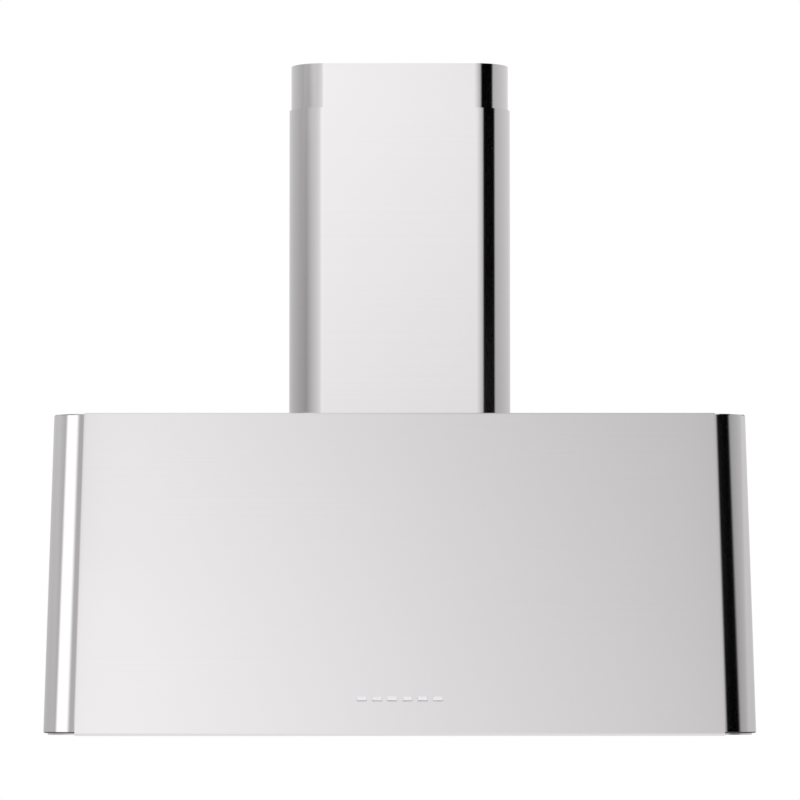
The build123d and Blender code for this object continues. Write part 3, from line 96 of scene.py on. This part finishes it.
def spread(nodes, links, source, low, high):
    ramp = nodes.new("ShaderNodeMapRange")
    ramp.inputs["From Min"].default_value = 0.3
    ramp.inputs["From Max"].default_value = 0.7
    ramp.inputs["To Min"].default_value = low
    ramp.inputs["To Max"].default_value = high
    links.new(source.outputs["Fac"], ramp.inputs["Value"])
    return ramp.outputs["Result"]


def tinted(nodes, links, source, dark, light):
    ramp = nodes.new("ShaderNodeValToRGB")
    ramp.color_ramp.elements[0].position = 0.3
    ramp.color_ramp.elements[0].color = (*dark, 1)
    ramp.color_ramp.elements[1].position = 0.7
    ramp.color_ramp.elements[1].color = (*light, 1)
    links.new(source.outputs["Fac"], ramp.inputs["Fac"])
    return ramp.outputs["Color"]


def relief(nodes, links, source, shader, strength, distance):
    bump = nodes.new("ShaderNodeBump")
    bump.inputs["Strength"].default_value = strength
    bump.inputs["Distance"].default_value = distance
    links.new(source.outputs["Fac"], bump.inputs["Height"])
    links.new(bump.outputs["Normal"], shader.inputs["Normal"])


brushed = {
    "dark": (0.820, 0.800, 0.812),
    "light": (0.840, 0.819, 0.832),
    "roughLow": 0.10,
    "roughHigh": 0.13,
    "anisotropy": 0.85,
    "grainRelief": 0.006,
}


def brushedSteel(name, stretch, across):
    # grain lines are drawn out along the two directions that stretch keeps short;
    # the brush went level, square to the surface's normal and to the direction across
    finish, nodes, links, shader = newFinish(name)
    grain = placedNoise(nodes, links, stretch, 1.0, 3.0, 0.65)
    cloud = placedNoise(nodes, links, (1, 1, 1), 3.0, 2.0)
    shader.inputs["Metallic"].default_value = 1.0
    shader.inputs["Anisotropic"].default_value = brushed["anisotropy"]
    shader.inputs["Anisotropic Rotation"].default_value = 0.25
    geometry = nodes.new("ShaderNodeNewGeometry")
    brushLine = nodes.new("ShaderNodeVectorMath")
    brushLine.operation = "CROSS_PRODUCT"
    brushLine.inputs[1].default_value = across
    links.new(geometry.outputs["Normal"], brushLine.inputs[0])
    links.new(brushLine.outputs["Vector"], shader.inputs["Tangent"])
    links.new(
        tinted(nodes, links, grain, brushed["dark"], brushed["light"]),
        shader.inputs["Base Color"],
    )
    links.new(
        spread(nodes, links, cloud, brushed["roughLow"], brushed["roughHigh"]),
        shader.inputs["Roughness"],
    )
    relief(nodes, links, grain, shader, brushed["grainRelief"], 0.0002)
    return finish


def metalFinish(name, dark, light, roughness, scale, stretch=(1, 1, 1)):
    finish, nodes, links, shader = newFinish(name)
    grain = placedNoise(nodes, links, stretch, scale, 3.0)
    shader.inputs["Metallic"].default_value = 1.0
    links.new(tinted(nodes, links, grain, dark, light), shader.inputs["Base Color"])
    links.new(
        spread(nodes, links, grain, roughness[0], roughness[1]), shader.inputs["Roughness"]
    )
    relief(nodes, links, grain, shader, 0.03, 0.0002)
    return finish


def zincFinish():
    finish, nodes, links, shader = newFinish("zincCoat")
    coords = nodes.new("ShaderNodeTexCoord")
    spangle = nodes.new("ShaderNodeTexVoronoi")
    spangle.inputs["Scale"].default_value = 110.0
    links.new(coords.outputs["Object"], spangle.inputs["Vector"])
    ramp = nodes.new("ShaderNodeValToRGB")
    ramp.color_ramp.elements[0].color = (0.50, 0.52, 0.54, 1)
    ramp.color_ramp.elements[1].color = (0.66, 0.68, 0.70, 1)
    links.new(spangle.outputs["Color"], ramp.inputs["Fac"])
    links.new(ramp.outputs["Color"], shader.inputs["Base Color"])
    shader.inputs["Metallic"].default_value = 1.0
    cloud = placedNoise(nodes, links, (1, 1, 1), 12.0, 2.0)
    links.new(spread(nodes, links, cloud, 0.36, 0.50), shader.inputs["Roughness"])
    return finish


def plasticFinish(name, dark, light, roughness, scale=60.0):
    finish, nodes, links, shader = newFinish(name)
    grain = placedNoise(nodes, links, (1, 1, 1), scale, 4.0)
    links.new(tinted(nodes, links, grain, dark, light), shader.inputs["Base Color"])
    links.new(
        spread(nodes, links, grain, roughness[0], roughness[1]), shader.inputs["Roughness"]
    )
    relief(nodes, links, grain, shader, 0.08, 0.0002)
    return finish


def lensFinish():
    finish, nodes, links, shader = newFinish("frostedLens")
    grain = placedNoise(nodes, links, (1, 1, 1), 900.0, 2.0)
    links.new(
        tinted(nodes, links, grain, (0.86, 0.86, 0.83), (0.94, 0.94, 0.91)),
        shader.inputs["Base Color"],
    )
    shader.inputs["Transmission Weight"].default_value = 0.3
    links.new(spread(nodes, links, grain, 0.32, 0.48), shader.inputs["Roughness"])
    relief(nodes, links, grain, shader, 0.15, 0.0002)
    return finish


uprightSteel = brushedSteel("uprightBrushedSteel", (2.0, 2.0, 1500.0), (0, 0.02, 1))
levelSteel = brushedSteel("levelBrushedSteel", (2.0, 1500.0, 2.0), (0, 1, 0.02))
baffleSteel = metalFinish(
    "baffleSteel", (0.60, 0.60, 0.61), (0.70, 0.70, 0.71), (0.24, 0.34), 1.0, (900.0, 4.0, 900.0)
)
zincCoat = zincFinish()
polishedRim = metalFinish(
    "polishedRim", (0.80, 0.80, 0.81), (0.86, 0.86, 0.87), (0.06, 0.12), 90.0
)
screwZinc = metalFinish("screwZinc", (0.62, 0.62, 0.60), (0.76, 0.76, 0.74), (0.22, 0.34), 300.0)
groundShaft = metalFinish("groundShaft", (0.55, 0.55, 0.56), (0.66, 0.66, 0.67), (0.2, 0.3), 400.0)
springSteel = metalFinish("springSteel", (0.45, 0.46, 0.48), (0.58, 0.59, 0.61), (0.2, 0.3), 200.0)
bareAluminium = metalFinish(
    "bareAluminium", (0.74, 0.75, 0.76), (0.83, 0.84, 0.85), (0.3, 0.42), 120.0
)
buttonSilver = plasticFinish(
    "buttonSilver", (0.82, 0.81, 0.82), (0.88, 0.865, 0.88), (0.25, 0.35), 500.0
)
blackMoulding = plasticFinish(
    "blackMoulding", (0.018, 0.018, 0.020), (0.034, 0.034, 0.037), (0.4, 0.55)
)
greyMoulding = plasticFinish("greyMoulding", (0.27, 0.28, 0.29), (0.34, 0.35, 0.36), (0.45, 0.6))
whiteMoulding = plasticFinish("whiteMoulding", (0.76, 0.76, 0.74), (0.84, 0.84, 0.82), (0.4, 0.55))
boardGreen = plasticFinish("boardGreen", (0.03, 0.16, 0.07), (0.05, 0.24, 0.11), (0.3, 0.45), 400.0)
# painted shade: a near-black finish on the rounded corners' bottom edge faces, standing in for the
# shade under the corners' raw edge
cornerEdgePaintedShade = metalFinish("cornerEdgePaintedShade", (0.10, 0.10, 0.10), (0.18, 0.18, 0.18), (0.5, 0.7), 900.0)
cableSheath = plasticFinish("cableSheath", (0.10, 0.10, 0.105), (0.16, 0.16, 0.165), (0.5, 0.65), 300.0)
frostedLens = lensFinish()
print("finishes made")


# sheet metal: every bent piece is a grid of outer points with its inner skin


def bentOutline(points, radii, sheet, steps):
    # outer and inner points of a sheet that follows the line and turns the same way at each bend
    line = [Vector(p) for p in points]
    turn = 0.0
    for a, b, c in zip(line, line[1:], line[2:]):
        turn += (b - a).cross(c - b)
    side = 1.0 if turn > 0 else -1.0
    outer = []
    inner = []

    def place(point, normal):
        outer.append(point)
        inner.append(point + normal * sheet)

    def inward(direction):
        return Vector((-direction.y, direction.x)) * side

    place(line[0], inward((line[1] - line[0]).normalized()))
    for before, corner, after, radius in zip(line, line[1:], line[2:], radii):
        goIn = (corner - before).normalized()
        goOut = (after - corner).normalized()
        bend = goIn.angle(goOut)
        if bend < 1e-5:
            place(corner, inward(goIn))
            continue
        reach = radius * math.tan(bend / 2)
        centre = corner - goIn * reach + inward(goIn) * radius
        for step in range(steps + 1):
            angle = side * bend * step / steps
            spoke = -inward(goIn)
            spoke = Vector(
                (
                    spoke.x * math.cos(angle) - spoke.y * math.sin(angle),
                    spoke.x * math.sin(angle) + spoke.y * math.cos(angle),
                )
            )
            place(centre + spoke * radius, -spoke)
    place(line[-1], inward((line[-1] - line[-2]).normalized()))
    return outer, inner


def addSheet(mesh, outer, inner, holes=(), capStart=None, capEnd=None, closeEdges=True, capSlot=0):
    # outer[i][j] and inner[i][j]: i along the bent outline, j along the sheet
    rows = len(outer)
    columns = len(outer[0])
    far = [[mesh.verts.new(p) for p in row] for row in outer]
    near = [[mesh.verts.new(p) for p in row] for row in inner]
    solid = {
        (i, j) for i in range(rows - 1) for j in range(columns - 1) if (i, j) not in holes
    }

    def wall(a, b, slot=0):
        (i, j), (k, l) = a, b
        face = mesh.faces.new((far[i][j], far[k][l], near[k][l], near[i][j]))
        face.material_index = slot

    for i, j in solid:
        mesh.faces.new((far[i][j], far[i + 1][j], far[i + 1][j + 1], far[i][j + 1]))
        mesh.faces.new((near[i][j], near[i][j + 1], near[i + 1][j + 1], near[i + 1][j]))
        if (i - 1, j) not in solid and (i > 0 or closeEdges):
            wall((i, j), (i, j + 1))
        if (i + 1, j) not in solid and (i < rows - 2 or closeEdges):
            wall((i + 1, j + 1), (i + 1, j))
        if (i, j - 1) not in solid and (j > 0 or capStart is None or capStart(i)):
            wall((i + 1, j), (i, j), capSlot)
        if (i, j + 1) not in solid and (j < columns - 2 or capEnd is None or capEnd(i)):
            wall((i, j + 1), (i + 1, j + 1))


def addBlock(mesh, low, high):
    corners = [
        mesh.verts.new((x, y, z))
        for x in (low[0], high[0])
        for y in (low[1], high[1])
        for z in (low[2], high[2])
    ]
    for face in ((0, 1, 3, 2), (4, 6, 7, 5), (0, 4, 5, 1), (2, 3, 7, 6), (0, 2, 6, 4), (1, 5, 7, 3)):
        mesh.faces.new([corners[k] for k in face])


shading = {"sharpAngle": 30.0, "weld": 2e-6}


def finishPiece(name, mesh, finish):
    bmesh.ops.remove_doubles(mesh, verts=mesh.verts, dist=shading["weld"])
    bmesh.ops.recalc_face_normals(mesh, faces=mesh.faces)
    for face in mesh.faces:
        face.smooth = True
    limit = math.radians(shading["sharpAngle"])
    for edge in mesh.edges:
        if len(edge.link_faces) != 2 or edge.calc_face_angle() > limit:
            edge.smooth = False
    data = bpy.data.meshes.new(name)
    mesh.to_mesh(data)
    mesh.free()
    piece = bpy.data.objects.new(name, data)
    bpy.context.scene.collection.objects.link(piece)
    data.materials.append(finish)
    even = piece.modifiers.new("evenShading", "WEIGHTED_NORMAL")
    even.keep_sharp = True
    even.weight = 100
    return piece


buttonRow = {
    "count": 6,
    "pitch": 0.0192,
    "width": 0.0121,
    "height": 0.0052,
    "proud": 0.0018,
    "middleZ": 0.0463,
    "gap": 0.00012,
    "edgeRadius": 0.0003,
    "back": -0.0032,
    "flangeHalfWidth": 0.0077,
    "flangeHalfHeight": 0.0042,
    "flange": 0.0012,
}
buttonX = [
    (k - (buttonRow["count"] - 1) / 2) * buttonRow["pitch"] for k in range(buttonRow["count"])
]


def makeCanopy():
    # two sides, the leaning front and the rounded corners, as one skin
    mesh = bmesh.new()
    top = hood["canopyHeight"]
    raw = hood["rawEdge"]
    halfHole = (buttonRow["height"] / 2 + buttonRow["gap"]) * math.cos(lean)
    levels = [raw, hood["lowLevel"]]
    levels += [buttonRow["middleZ"] - halfHole, buttonRow["middleZ"] + halfHole]
    levels += hood["highLevels"] + [top - hood["topRawEdge"]]
    bendSteps = hood["bendSteps"]
    firstWall = bendSteps + 2  # index of the outline point at the lowest level
    lastWall = firstWall + len(levels) - 1

    def isLip(i):
        return i < firstWall or i >= lastWall

    lineFront = [(frontY(0) + hood["bottomLip"], 0), (frontY(0), 0)]
    lineFront += [(frontY(z), z) for z in levels]
    lineFront += [(frontY(top), top), (frontY(top) + hood["topLip"], top)]
    radii = [hood["bendRadius"]] + [0] * len(levels) + [hood["bendRadius"]]
    outer, inner = bentOutline(lineFront, radii, hood["sheet"], bendSteps)
    stops = [-flatHalf, -flatHalf + hood["seamStrip"]]
    for x in buttonX:
        half = buttonRow["width"] / 2 + buttonRow["gap"]
        stops += [x - half, x + half]
    stops += [flatHalf - hood["seamStrip"], flatHalf]
    holeRow = firstWall + 2
    holes = {(holeRow, 2 + 2 * k) for k in range(buttonRow["count"])}
    addSheet(
        mesh,
        [[(x, p.x, p.y) for x in stops] for p in outer],
        [[(x, p.x, p.y) for x in stops] for p in inner],
        holes,
        isLip,
        isLip,
    )
    cornerY = frontY(0) + hood["cornerRadius"]
    arcSteps = hood["cornerSteps"]
    for side in (-1, 1):
        half = side * hood["width"] / 2
        lineSide = [(half - side * hood["bottomLip"], raw), (half, raw)]
        lineSide += [(half, z) for z in levels[1:]]
        lineSide += [(half, top), (half - side * hood["topLip"], top)]
        bends = [hood["bendRadius"]] + [0] * (len(levels) - 1) + [hood["bendRadius"]]
        outer, inner = bentOutline(lineSide, bends, hood["sheet"], bendSteps)
        rear = -hood["sheet"]

        def sideRow(p):
            return [(p.x, rear, p.y), (p.x, cornerY + slope * p.y, p.y)]

        addSheet(
            mesh,
            [sideRow(p) for p in outer],
            [sideRow(p) for p in inner],
            capEnd=isLip,
        )
        outerGrid = []
        innerGrid = []
        for step in range(arcSteps + 1):
            turn = math.pi / 2 * step / arcSteps
            across = math.sin(turn) * side
            forward = -math.cos(turn)
            normal = Vector((across, forward, -slope * forward)).normalized()
            outerRow = []
            innerRow = []
            for z in levels:
                lift = hood["edgeChamfer"] if z == raw else 0
                for row, height, inset in ((outerRow, z + lift, 0), (innerRow, z, hood["sheet"])):
                    point = Vector(
                        (
                            side * flatHalf + across * hood["cornerRadius"],
                            cornerY + slope * height + forward * hood["cornerRadius"],
                            height,
                        )
                    )
                    row.append(point - normal * inset)
            outerGrid.append(outerRow)
            innerGrid.append(innerRow)
        # the corners' bottom edge faces take slot 1, the near-black painted shade
        addSheet(mesh, outerGrid, innerGrid, closeEdges=False, capSlot=1)
        flangeOut = side * (hood["width"] / 2 - hood["sheet"])
        flangeIn = flangeOut - side * hood["rearFlange"]
        addBlock(
            mesh,
            (min(flangeOut, flangeIn), -2 * hood["sheet"], hood["rearFlangeZ"]),
            (max(flangeOut, flangeIn), -hood["sheet"], top - 2 * hood["sheet"]),
        )
    canopy = finishPiece("canopySheet", mesh, uprightSteel)
    # slot 1 is the painted shade on the corners' bottom edge faces
    canopy.data.materials.append(cornerEdgePaintedShade)
    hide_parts("canopy_wrap")
    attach(canopy, "hood")


makeCanopy()
print("canopy made")

coverSteps = {"bend": 40, "topRow": 0.0004}
lowerCover = {
    "width": 0.2915,
    "front": -0.255,
    "rear": 0.0,
    "radius": 0.045,
    "sheet": 0.001,
    "flange": 0.015,
    "rearBend": 0.0012,
    "rearBottom": 0.4164,  # its flanges start here, above the canopy's back panel
    "bottom": 0.4148,
    "top": 0.822,
}
upperCover = {
    "width": 0.2867,
    "front": -0.2526,
    "rear": -0.0024,
    "radius": 0.0454,
    "sheet": 0.001,
    "flange": 0.015,
    "rearBend": 0.0012,
    "bottom": 0.446,
    "top": 0.881,
}
vents = {
    "count": 8,
    "pitch": 0.012,
    "length": 0.070,
    "height": 0.004,
    "firstZ": 0.470,
    "middleY": -0.127,
}


def makeCover(name, cover, node, body, slots=None):
    half = cover["width"] / 2
    front = cover["front"]
    rear = cover["rear"]
    # the plan runs from the left rear flange round the front to the right one
    sideStops = []
    if slots:
        sideStops = [slots["middleY"] + slots["length"] / 2, slots["middleY"] - slots["length"] / 2]
    line = [(-half + cover["flange"], rear), (-half, rear)]
    line += [(-half, y) for y in sideStops]
    line += [(-half, front), (half, front)]
    line += [(half, y) for y in reversed(sideStops)]
    line += [(half, rear), (half - cover["flange"], rear)]
    bend = cover["rearBend"]
    steps = coverSteps["bend"]
    radii = [bend] + [0] * len(sideStops) + [cover["radius"]] * 2 + [0] * len(sideStops) + [bend]
    outer, inner = bentOutline(line, radii, cover["sheet"], steps)
    heights = [cover["bottom"]]
    holes = set()
    if slots:
        leftColumn = steps + 2
        rightColumn = leftColumn + 1 + 2 * (steps + 1) + 1
        for k in range(slots["count"]):
            middle = slots["firstZ"] + k * slots["pitch"]
            holes.add((leftColumn, len(heights)))
            holes.add((rightColumn, len(heights)))
            heights += [middle - slots["height"] / 2, middle + slots["height"] / 2]
    else:
        heights += [cover["rearBottom"]]
    heights += [cover["top"] - coverSteps["topRow"], cover["top"]]
    mesh = bmesh.new()
    if slots is None:
        last = len(outer) - 2
        holes = {(i, 0) for i in range(len(outer) - 1) if i < steps + 2 or i > last - steps - 2}
    addSheet(
        mesh,
        [[(p.x, p.y, z) for z in heights] for p in outer],
        [[(p.x, p.y, z) for z in heights] for p in inner],
        holes,
    )
    piece = finishPiece(name, mesh, uprightSteel)
    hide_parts(node)
    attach(piece, body)


makeCover("lowerChimneyCover", lowerCover, "lower_chimney", "hood")
makeCover("upperChimneyCover", upperCover, "upper_chimney", "upper_cover", vents)
print("chimney covers made")


def makeButton(index, x):
    # oblong cap with soft edges, square to the leaning front
    mesh = bmesh.new()
    halfWidth = buttonRow["width"] / 2
    halfHeight = buttonRow["height"] / 2
    bmesh.ops.create_cube(mesh, size=1.0)
    back = buttonRow["back"]
    wide = buttonRow["flangeHalfWidth"]
    high = buttonRow["flangeHalfHeight"]
    for vert in mesh.verts:
        vert.co.x = math.copysign(halfWidth, vert.co.x)
        vert.co.y = math.copysign(halfHeight, vert.co.y)
        vert.co.z = buttonRow["proud"] if vert.co.z > 0 else back
    edges = [e for e in mesh.edges if all(v.co.z > 0 for v in e.verts)]
    bmesh.ops.bevel(
        mesh, geom=edges, offset=buttonRow["edgeRadius"], segments=3, profile=0.5, affect="EDGES"
    )
    addBlock(mesh, (-wide, -high, back - buttonRow["flange"]), (wide, high, back))
    upward = Vector((0, math.sin(lean), math.cos(lean)))
    outward = Vector((0, -math.cos(lean), math.sin(lean)))
    middle = Vector((x, frontY(buttonRow["middleZ"]), buttonRow["middleZ"]))
    for vert in mesh.verts:
        vert.co = middle + Vector((1, 0, 0)) * vert.co.x + upward * vert.co.y + outward * vert.co.z
    piece = finishPiece(f"buttonCap{index}", mesh, buttonSilver)
    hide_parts(f"push_button_{index}")
    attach(piece, f"button_{index}")


for number, x in enumerate(buttonX, 1):
    makeButton(number, x)
print("buttons made")

nodeFinishes = {
    "back_panel": zincCoat,
    "top_panel": levelSteel,
    "underside_pan": levelSteel,
    "switch_housing": whiteMoulding,
    "switch_board": boardGreen,
    "switch_housing_nuts": screwZinc,
    "blower_scroll": zincCoat,
    "blower_left_side": zincCoat,
    "blower_right_side": zincCoat,
    "blower_motor": zincCoat,
    "motor_spider": zincCoat,
    "duct_collar": zincCoat,
    "top_panel_screws": screwZinc,
    "chimney_locator": zincCoat,
    "chimney_screws": screwZinc,
    "cable_gland": blackMoulding,
    "terminal_box": greyMoulding,
    "terminal_cover": greyMoulding,
    "terminal_block": whiteMoulding,
    "lamp_driver": whiteMoulding,
    "motor_capacitor": whiteMoulding,
    "capacitor_strap": zincCoat,
    "wiring": cableSheath,
    "ceiling_bracket": zincCoat,
    "ceiling_bracket_screws": screwZinc,
    "impeller": blackMoulding,
    "motor_shaft": groundShaft,
    "front_duct_flap": bareAluminium,
    "rear_duct_flap": bareAluminium,
}
for side in ("left", "right"):
    nodeFinishes[side + "_lamp_bezel"] = polishedRim
    nodeFinishes[side + "_lamp_lens"] = frostedLens
    nodeFinishes[side + "_lamp_module"] = bareAluminium
for side in ("left", "middle", "right"):
    nodeFinishes[side + "_filter_frame"] = baffleSteel
    nodeFinishes[side + "_filter_baffles"] = baffleSteel
    nodeFinishes[side + "_filter_clip"] = springSteel
    nodeFinishes[side + "_filter_handle"] = polishedRim
for node, finish in nodeFinishes.items():
    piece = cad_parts[node]
    piece.data.materials.clear()
    piece.data.materials.append(finish)
print("plain nodes finished")

# studio: floor, soft lamps and cards that only metal sees

studio = {
    "floorZ": -1.6,
    "floorHalf": 6.0,
    "wallRadius": 5.0,
    "wallMiddleY": -0.3,
    "wallLow": -12.0,
    "wallHigh": 40.0,
    "wallSteps": 180,
}


def makeFloor():
    mesh = bmesh.new()
    half = studio["floorHalf"]
    z = studio["floorZ"]
    corners = ((-half, -half, z), (half, -half, z), (half, half, z), (-half, half, z))
    mesh.faces.new([mesh.verts.new(p) for p in corners])
    finish, nodes, links, shader = newFinish("paleFloor")
    grain = placedNoise(nodes, links, (1, 1, 1), 8.0, 3.0)
    links.new(
        tinted(nodes, links, grain, (0.80, 0.80, 0.80), (0.84, 0.84, 0.84)),
        shader.inputs["Base Color"],
    )
    shader.inputs["Roughness"].default_value = 0.6
    shader.inputs["Specular IOR Level"].default_value = 0.1
    geometry = nodes.new("ShaderNodeNewGeometry")
    clear = nodes.new("ShaderNodeBsdfTransparent")
    mix = nodes.new("ShaderNodeMixShader")
    links.new(geometry.outputs["Backfacing"], mix.inputs["Fac"])
    links.new(shader.outputs["BSDF"], mix.inputs[1])
    links.new(clear.outputs["BSDF"], mix.inputs[2])
    links.new(mix.outputs["Shader"], nodes["Material Output"].inputs["Surface"])
    data = bpy.data.meshes.new("floor")
    mesh.to_mesh(data)
    mesh.free()
    data.materials.append(finish)
    floor = bpy.data.objects.new("floor", data)
    bpy.context.scene.collection.objects.link(floor)
    floor.visible_glossy = False


# cards round the studio as the steel mirrors them: degrees to the viewer's left, and brightness
wallForCanopy = [
    # black flag to the right, soft front light, white strip to the left
    (-180, 0.85), (-70, 0.40), (-62, 0.0), (-20, 0.0), (-10, 0.70), (10, 1.10),
    (14, 0.50), (30, 0.50), (41, 1.25), (75, 1.25), (82, 0.50), (180, 0.95),
]
wallForCovers = [
    # the same flag and front light, with no strip to the left
    (-180, 0.80), (-70, 0.50), (-64, 0.0), (-28, 0.0), (-22, 0.60), (4, 1.05), (15, 0.80),
    (60, 0.35), (180, 0.75),
]
wallLowDown = [
    (-180, 0.75), (-90, 0.62), (-40, 0.48), (-12, 0.84), (12, 0.88), (45, 0.95), (90, 0.62),
    (180, 0.75),
]
wallHighUp = [
    (-180, 0.62), (-90, 0.52), (-40, 0.36), (-5, 0.50), (10, 0.95), (45, 1.0), (90, 0.62),
    (180, 0.65),
]
# heights on the wall where one set of cards gives way to the next, and how each fades upward
wallBands = {
    "lowDown": (-0.5, 0.3),
    "toCanopy": (1.6, 1.9),
    "toHighUp": (7.0, 9.0),
    "coversFade": (0.5, 1.9, 0.9, 1.15),
    "canopyFade": (5.0, 6.6, 1.0, 0.85),
}


def toneRamp(nodes, links, place, tones):
    ramp = nodes.new("ShaderNodeValToRGB")
    elements = ramp.color_ramp.elements
    while len(elements) > 1:
        elements.remove(elements[-1])
    for index, (angle, tone) in enumerate(tones):
        share = (angle + 180) / 360
        element = elements[0] if index == 0 else elements.new(share)
        element.position = share
        element.color = (tone, tone, tone, 1)
    links.new(place.outputs["Fac"], ramp.inputs["Fac"])
    return ramp.outputs["Color"]


def heightRange(nodes, links, height, low, high, lowTone, highTone):
    ramp = nodes.new("ShaderNodeMapRange")
    labels = ("From Min", "From Max", "To Min", "To Max")
    for label, value in zip(labels, (low, high, lowTone, highTone)):
        ramp.inputs[label].default_value = value
    links.new(height.outputs["Fac"], ramp.inputs["Value"])
    return ramp.outputs["Result"]


def makeStudioWall():
    # only mirror-like surfaces see it; the leaning canopy mirrors its upper part
    mesh = bmesh.new()
    sweep = mesh.verts.layers.float.new("sweep")
    height = mesh.verts.layers.float.new("height")
    levels = [studio["wallLow"], studio["wallHigh"]]
    count = studio["wallSteps"]
    columns = []
    for step in range(count + 1):
        turn = math.radians(-180 + 360 * step / count)
        column = []
        for z in levels:
            x = -math.sin(turn) * studio["wallRadius"]
            y = studio["wallMiddleY"] - math.cos(turn) * studio["wallRadius"]
            vert = mesh.verts.new((x, y, z))
            vert[sweep] = step / count
            vert[height] = z
            column.append(vert)
        columns.append(column)
    for a, b in zip(columns, columns[1:]):
        mesh.faces.new((a[0], b[0], b[1], a[1]))
    finish = bpy.data.materials.new("studioWall")
    finish.use_nodes = True
    nodes = finish.node_tree.nodes
    links = finish.node_tree.links
    nodes.clear()
    across = nodes.new("ShaderNodeAttribute")
    across.attribute_name = "sweep"
    upward = nodes.new("ShaderNodeAttribute")
    upward.attribute_name = "height"

    def blended(lower, upper, low, high):
        blend = nodes.new("ShaderNodeMix")
        blend.data_type = "VECTOR"
        links.new(heightRange(nodes, links, upward, low, high, 0.0, 1.0), blend.inputs["Factor"])
        links.new(lower, blend.inputs["A"])
        links.new(upper, blend.inputs["B"])
        return blend.outputs["Result"]

    def fading(tones, low, high, lowTone, highTone):
        scaled = nodes.new("ShaderNodeVectorMath")
        scaled.operation = "SCALE"
        links.new(toneRamp(nodes, links, across, tones), scaled.inputs[0])
        fade = heightRange(nodes, links, upward, low, high, lowTone, highTone)
        links.new(fade, scaled.inputs["Scale"])
        return scaled.outputs["Vector"]

    covers = fading(wallForCovers, *wallBands["coversFade"])
    lowDown = toneRamp(nodes, links, across, wallLowDown)
    covers = blended(lowDown, covers, *wallBands["lowDown"])
    canopy = fading(wallForCanopy, *wallBands["canopyFade"])
    highUp = toneRamp(nodes, links, across, wallHighUp)
    canopy = blended(canopy, highUp, *wallBands["toHighUp"])
    shade = blended(covers, canopy, *wallBands["toCanopy"])
    glow = nodes.new("ShaderNodeEmission")
    glow.inputs["Strength"].default_value = 1.0
    output = nodes.new("ShaderNodeOutputMaterial")
    links.new(shade, glow.inputs["Color"])
    links.new(glow.outputs["Emission"], output.inputs["Surface"])
    data = bpy.data.meshes.new("studioWall")
    mesh.to_mesh(data)
    mesh.free()
    data.materials.append(finish)
    wall = bpy.data.objects.new("studioWall", data)
    bpy.context.scene.collection.objects.link(wall)
    wall.visible_camera = False
    wall.visible_diffuse = False
    wall.visible_shadow = False
    wall.visible_transmission = False
    wall.visible_volume_scatter = False


softLamps = {
    "aim": (0, -0.2, 0.3),
    "size": 2.4,
    "keyLamp": {"place": (-2.6, -3.6, 3.2), "power": 90},
    "fillLamp": {"place": (2.8, -3.0, 1.8), "power": 40},
}
air = {"light": (0.97, 0.98, 1.0, 1), "lightStrength": 0.55, "seen": (1, 1, 1, 1), "seenStrength": 1.0}


def makeLamp(name):
    place = Vector(softLamps[name]["place"])
    data = bpy.data.lights.new(name, "AREA")
    data.size = softLamps["size"]
    data.energy = softLamps[name]["power"]
    lamp = bpy.data.objects.new(name, data)
    bpy.context.scene.collection.objects.link(lamp)
    lamp.location = place
    lamp.rotation_euler = (Vector(softLamps["aim"]) - place).to_track_quat("-Z", "Y").to_euler()
    lamp.visible_glossy = False


def makeWorld():
    world = bpy.data.worlds.new("studioAir")
    bpy.context.scene.world = world
    world.use_nodes = True
    nodes = world.node_tree.nodes
    links = world.node_tree.links
    nodes.clear()
    path = nodes.new("ShaderNodeLightPath")
    seen = nodes.new("ShaderNodeMath")
    seen.operation = "MAXIMUM"
    links.new(path.outputs["Is Camera Ray"], seen.inputs[0])
    links.new(path.outputs["Is Glossy Ray"], seen.inputs[1])
    through = nodes.new("ShaderNodeMath")
    through.operation = "MAXIMUM"
    links.new(seen.outputs["Value"], through.inputs[0])
    links.new(path.outputs["Is Transmission Ray"], through.inputs[1])
    soft = nodes.new("ShaderNodeBackground")
    soft.inputs["Color"].default_value = air["light"]
    soft.inputs["Strength"].default_value = air["lightStrength"]
    white = nodes.new("ShaderNodeBackground")
    white.inputs["Color"].default_value = air["seen"]
    white.inputs["Strength"].default_value = air["seenStrength"]
    mix = nodes.new("ShaderNodeMixShader")
    output = nodes.new("ShaderNodeOutputWorld")
    links.new(through.outputs["Value"], mix.inputs["Fac"])
    links.new(soft.outputs["Background"], mix.inputs[1])
    links.new(white.outputs["Background"], mix.inputs[2])
    links.new(mix.outputs["Shader"], output.inputs["Surface"])


makeFloor()
makeStudioWall()
makeLamp("keyLamp")
makeLamp("fillLamp")
makeWorld()
print("studio made")

cameraPlace = {
    "x": 0.0003,
    "y": -6.6017,
    "z": 0.0542,
    "pitch": 3.4498,
    "roll": 0.01,
    "lens": 218.464,
    "sensor": 36.0,
}


def makeCamera():
    data = bpy.data.cameras.new("camera")
    data.lens = cameraPlace["lens"]
    data.sensor_width = cameraPlace["sensor"]
    camera = bpy.data.objects.new("camera", data)
    bpy.context.scene.collection.objects.link(camera)
    camera.location = (cameraPlace["x"], cameraPlace["y"], cameraPlace["z"])
    camera.rotation_euler = (
        math.radians(90 + cameraPlace["pitch"]),
        math.radians(cameraPlace["roll"]),
        0,
    )
    bpy.context.scene.camera = camera


makeCamera()
bpy.context.scene.view_settings.view_transform = "Standard"
print("camera set")
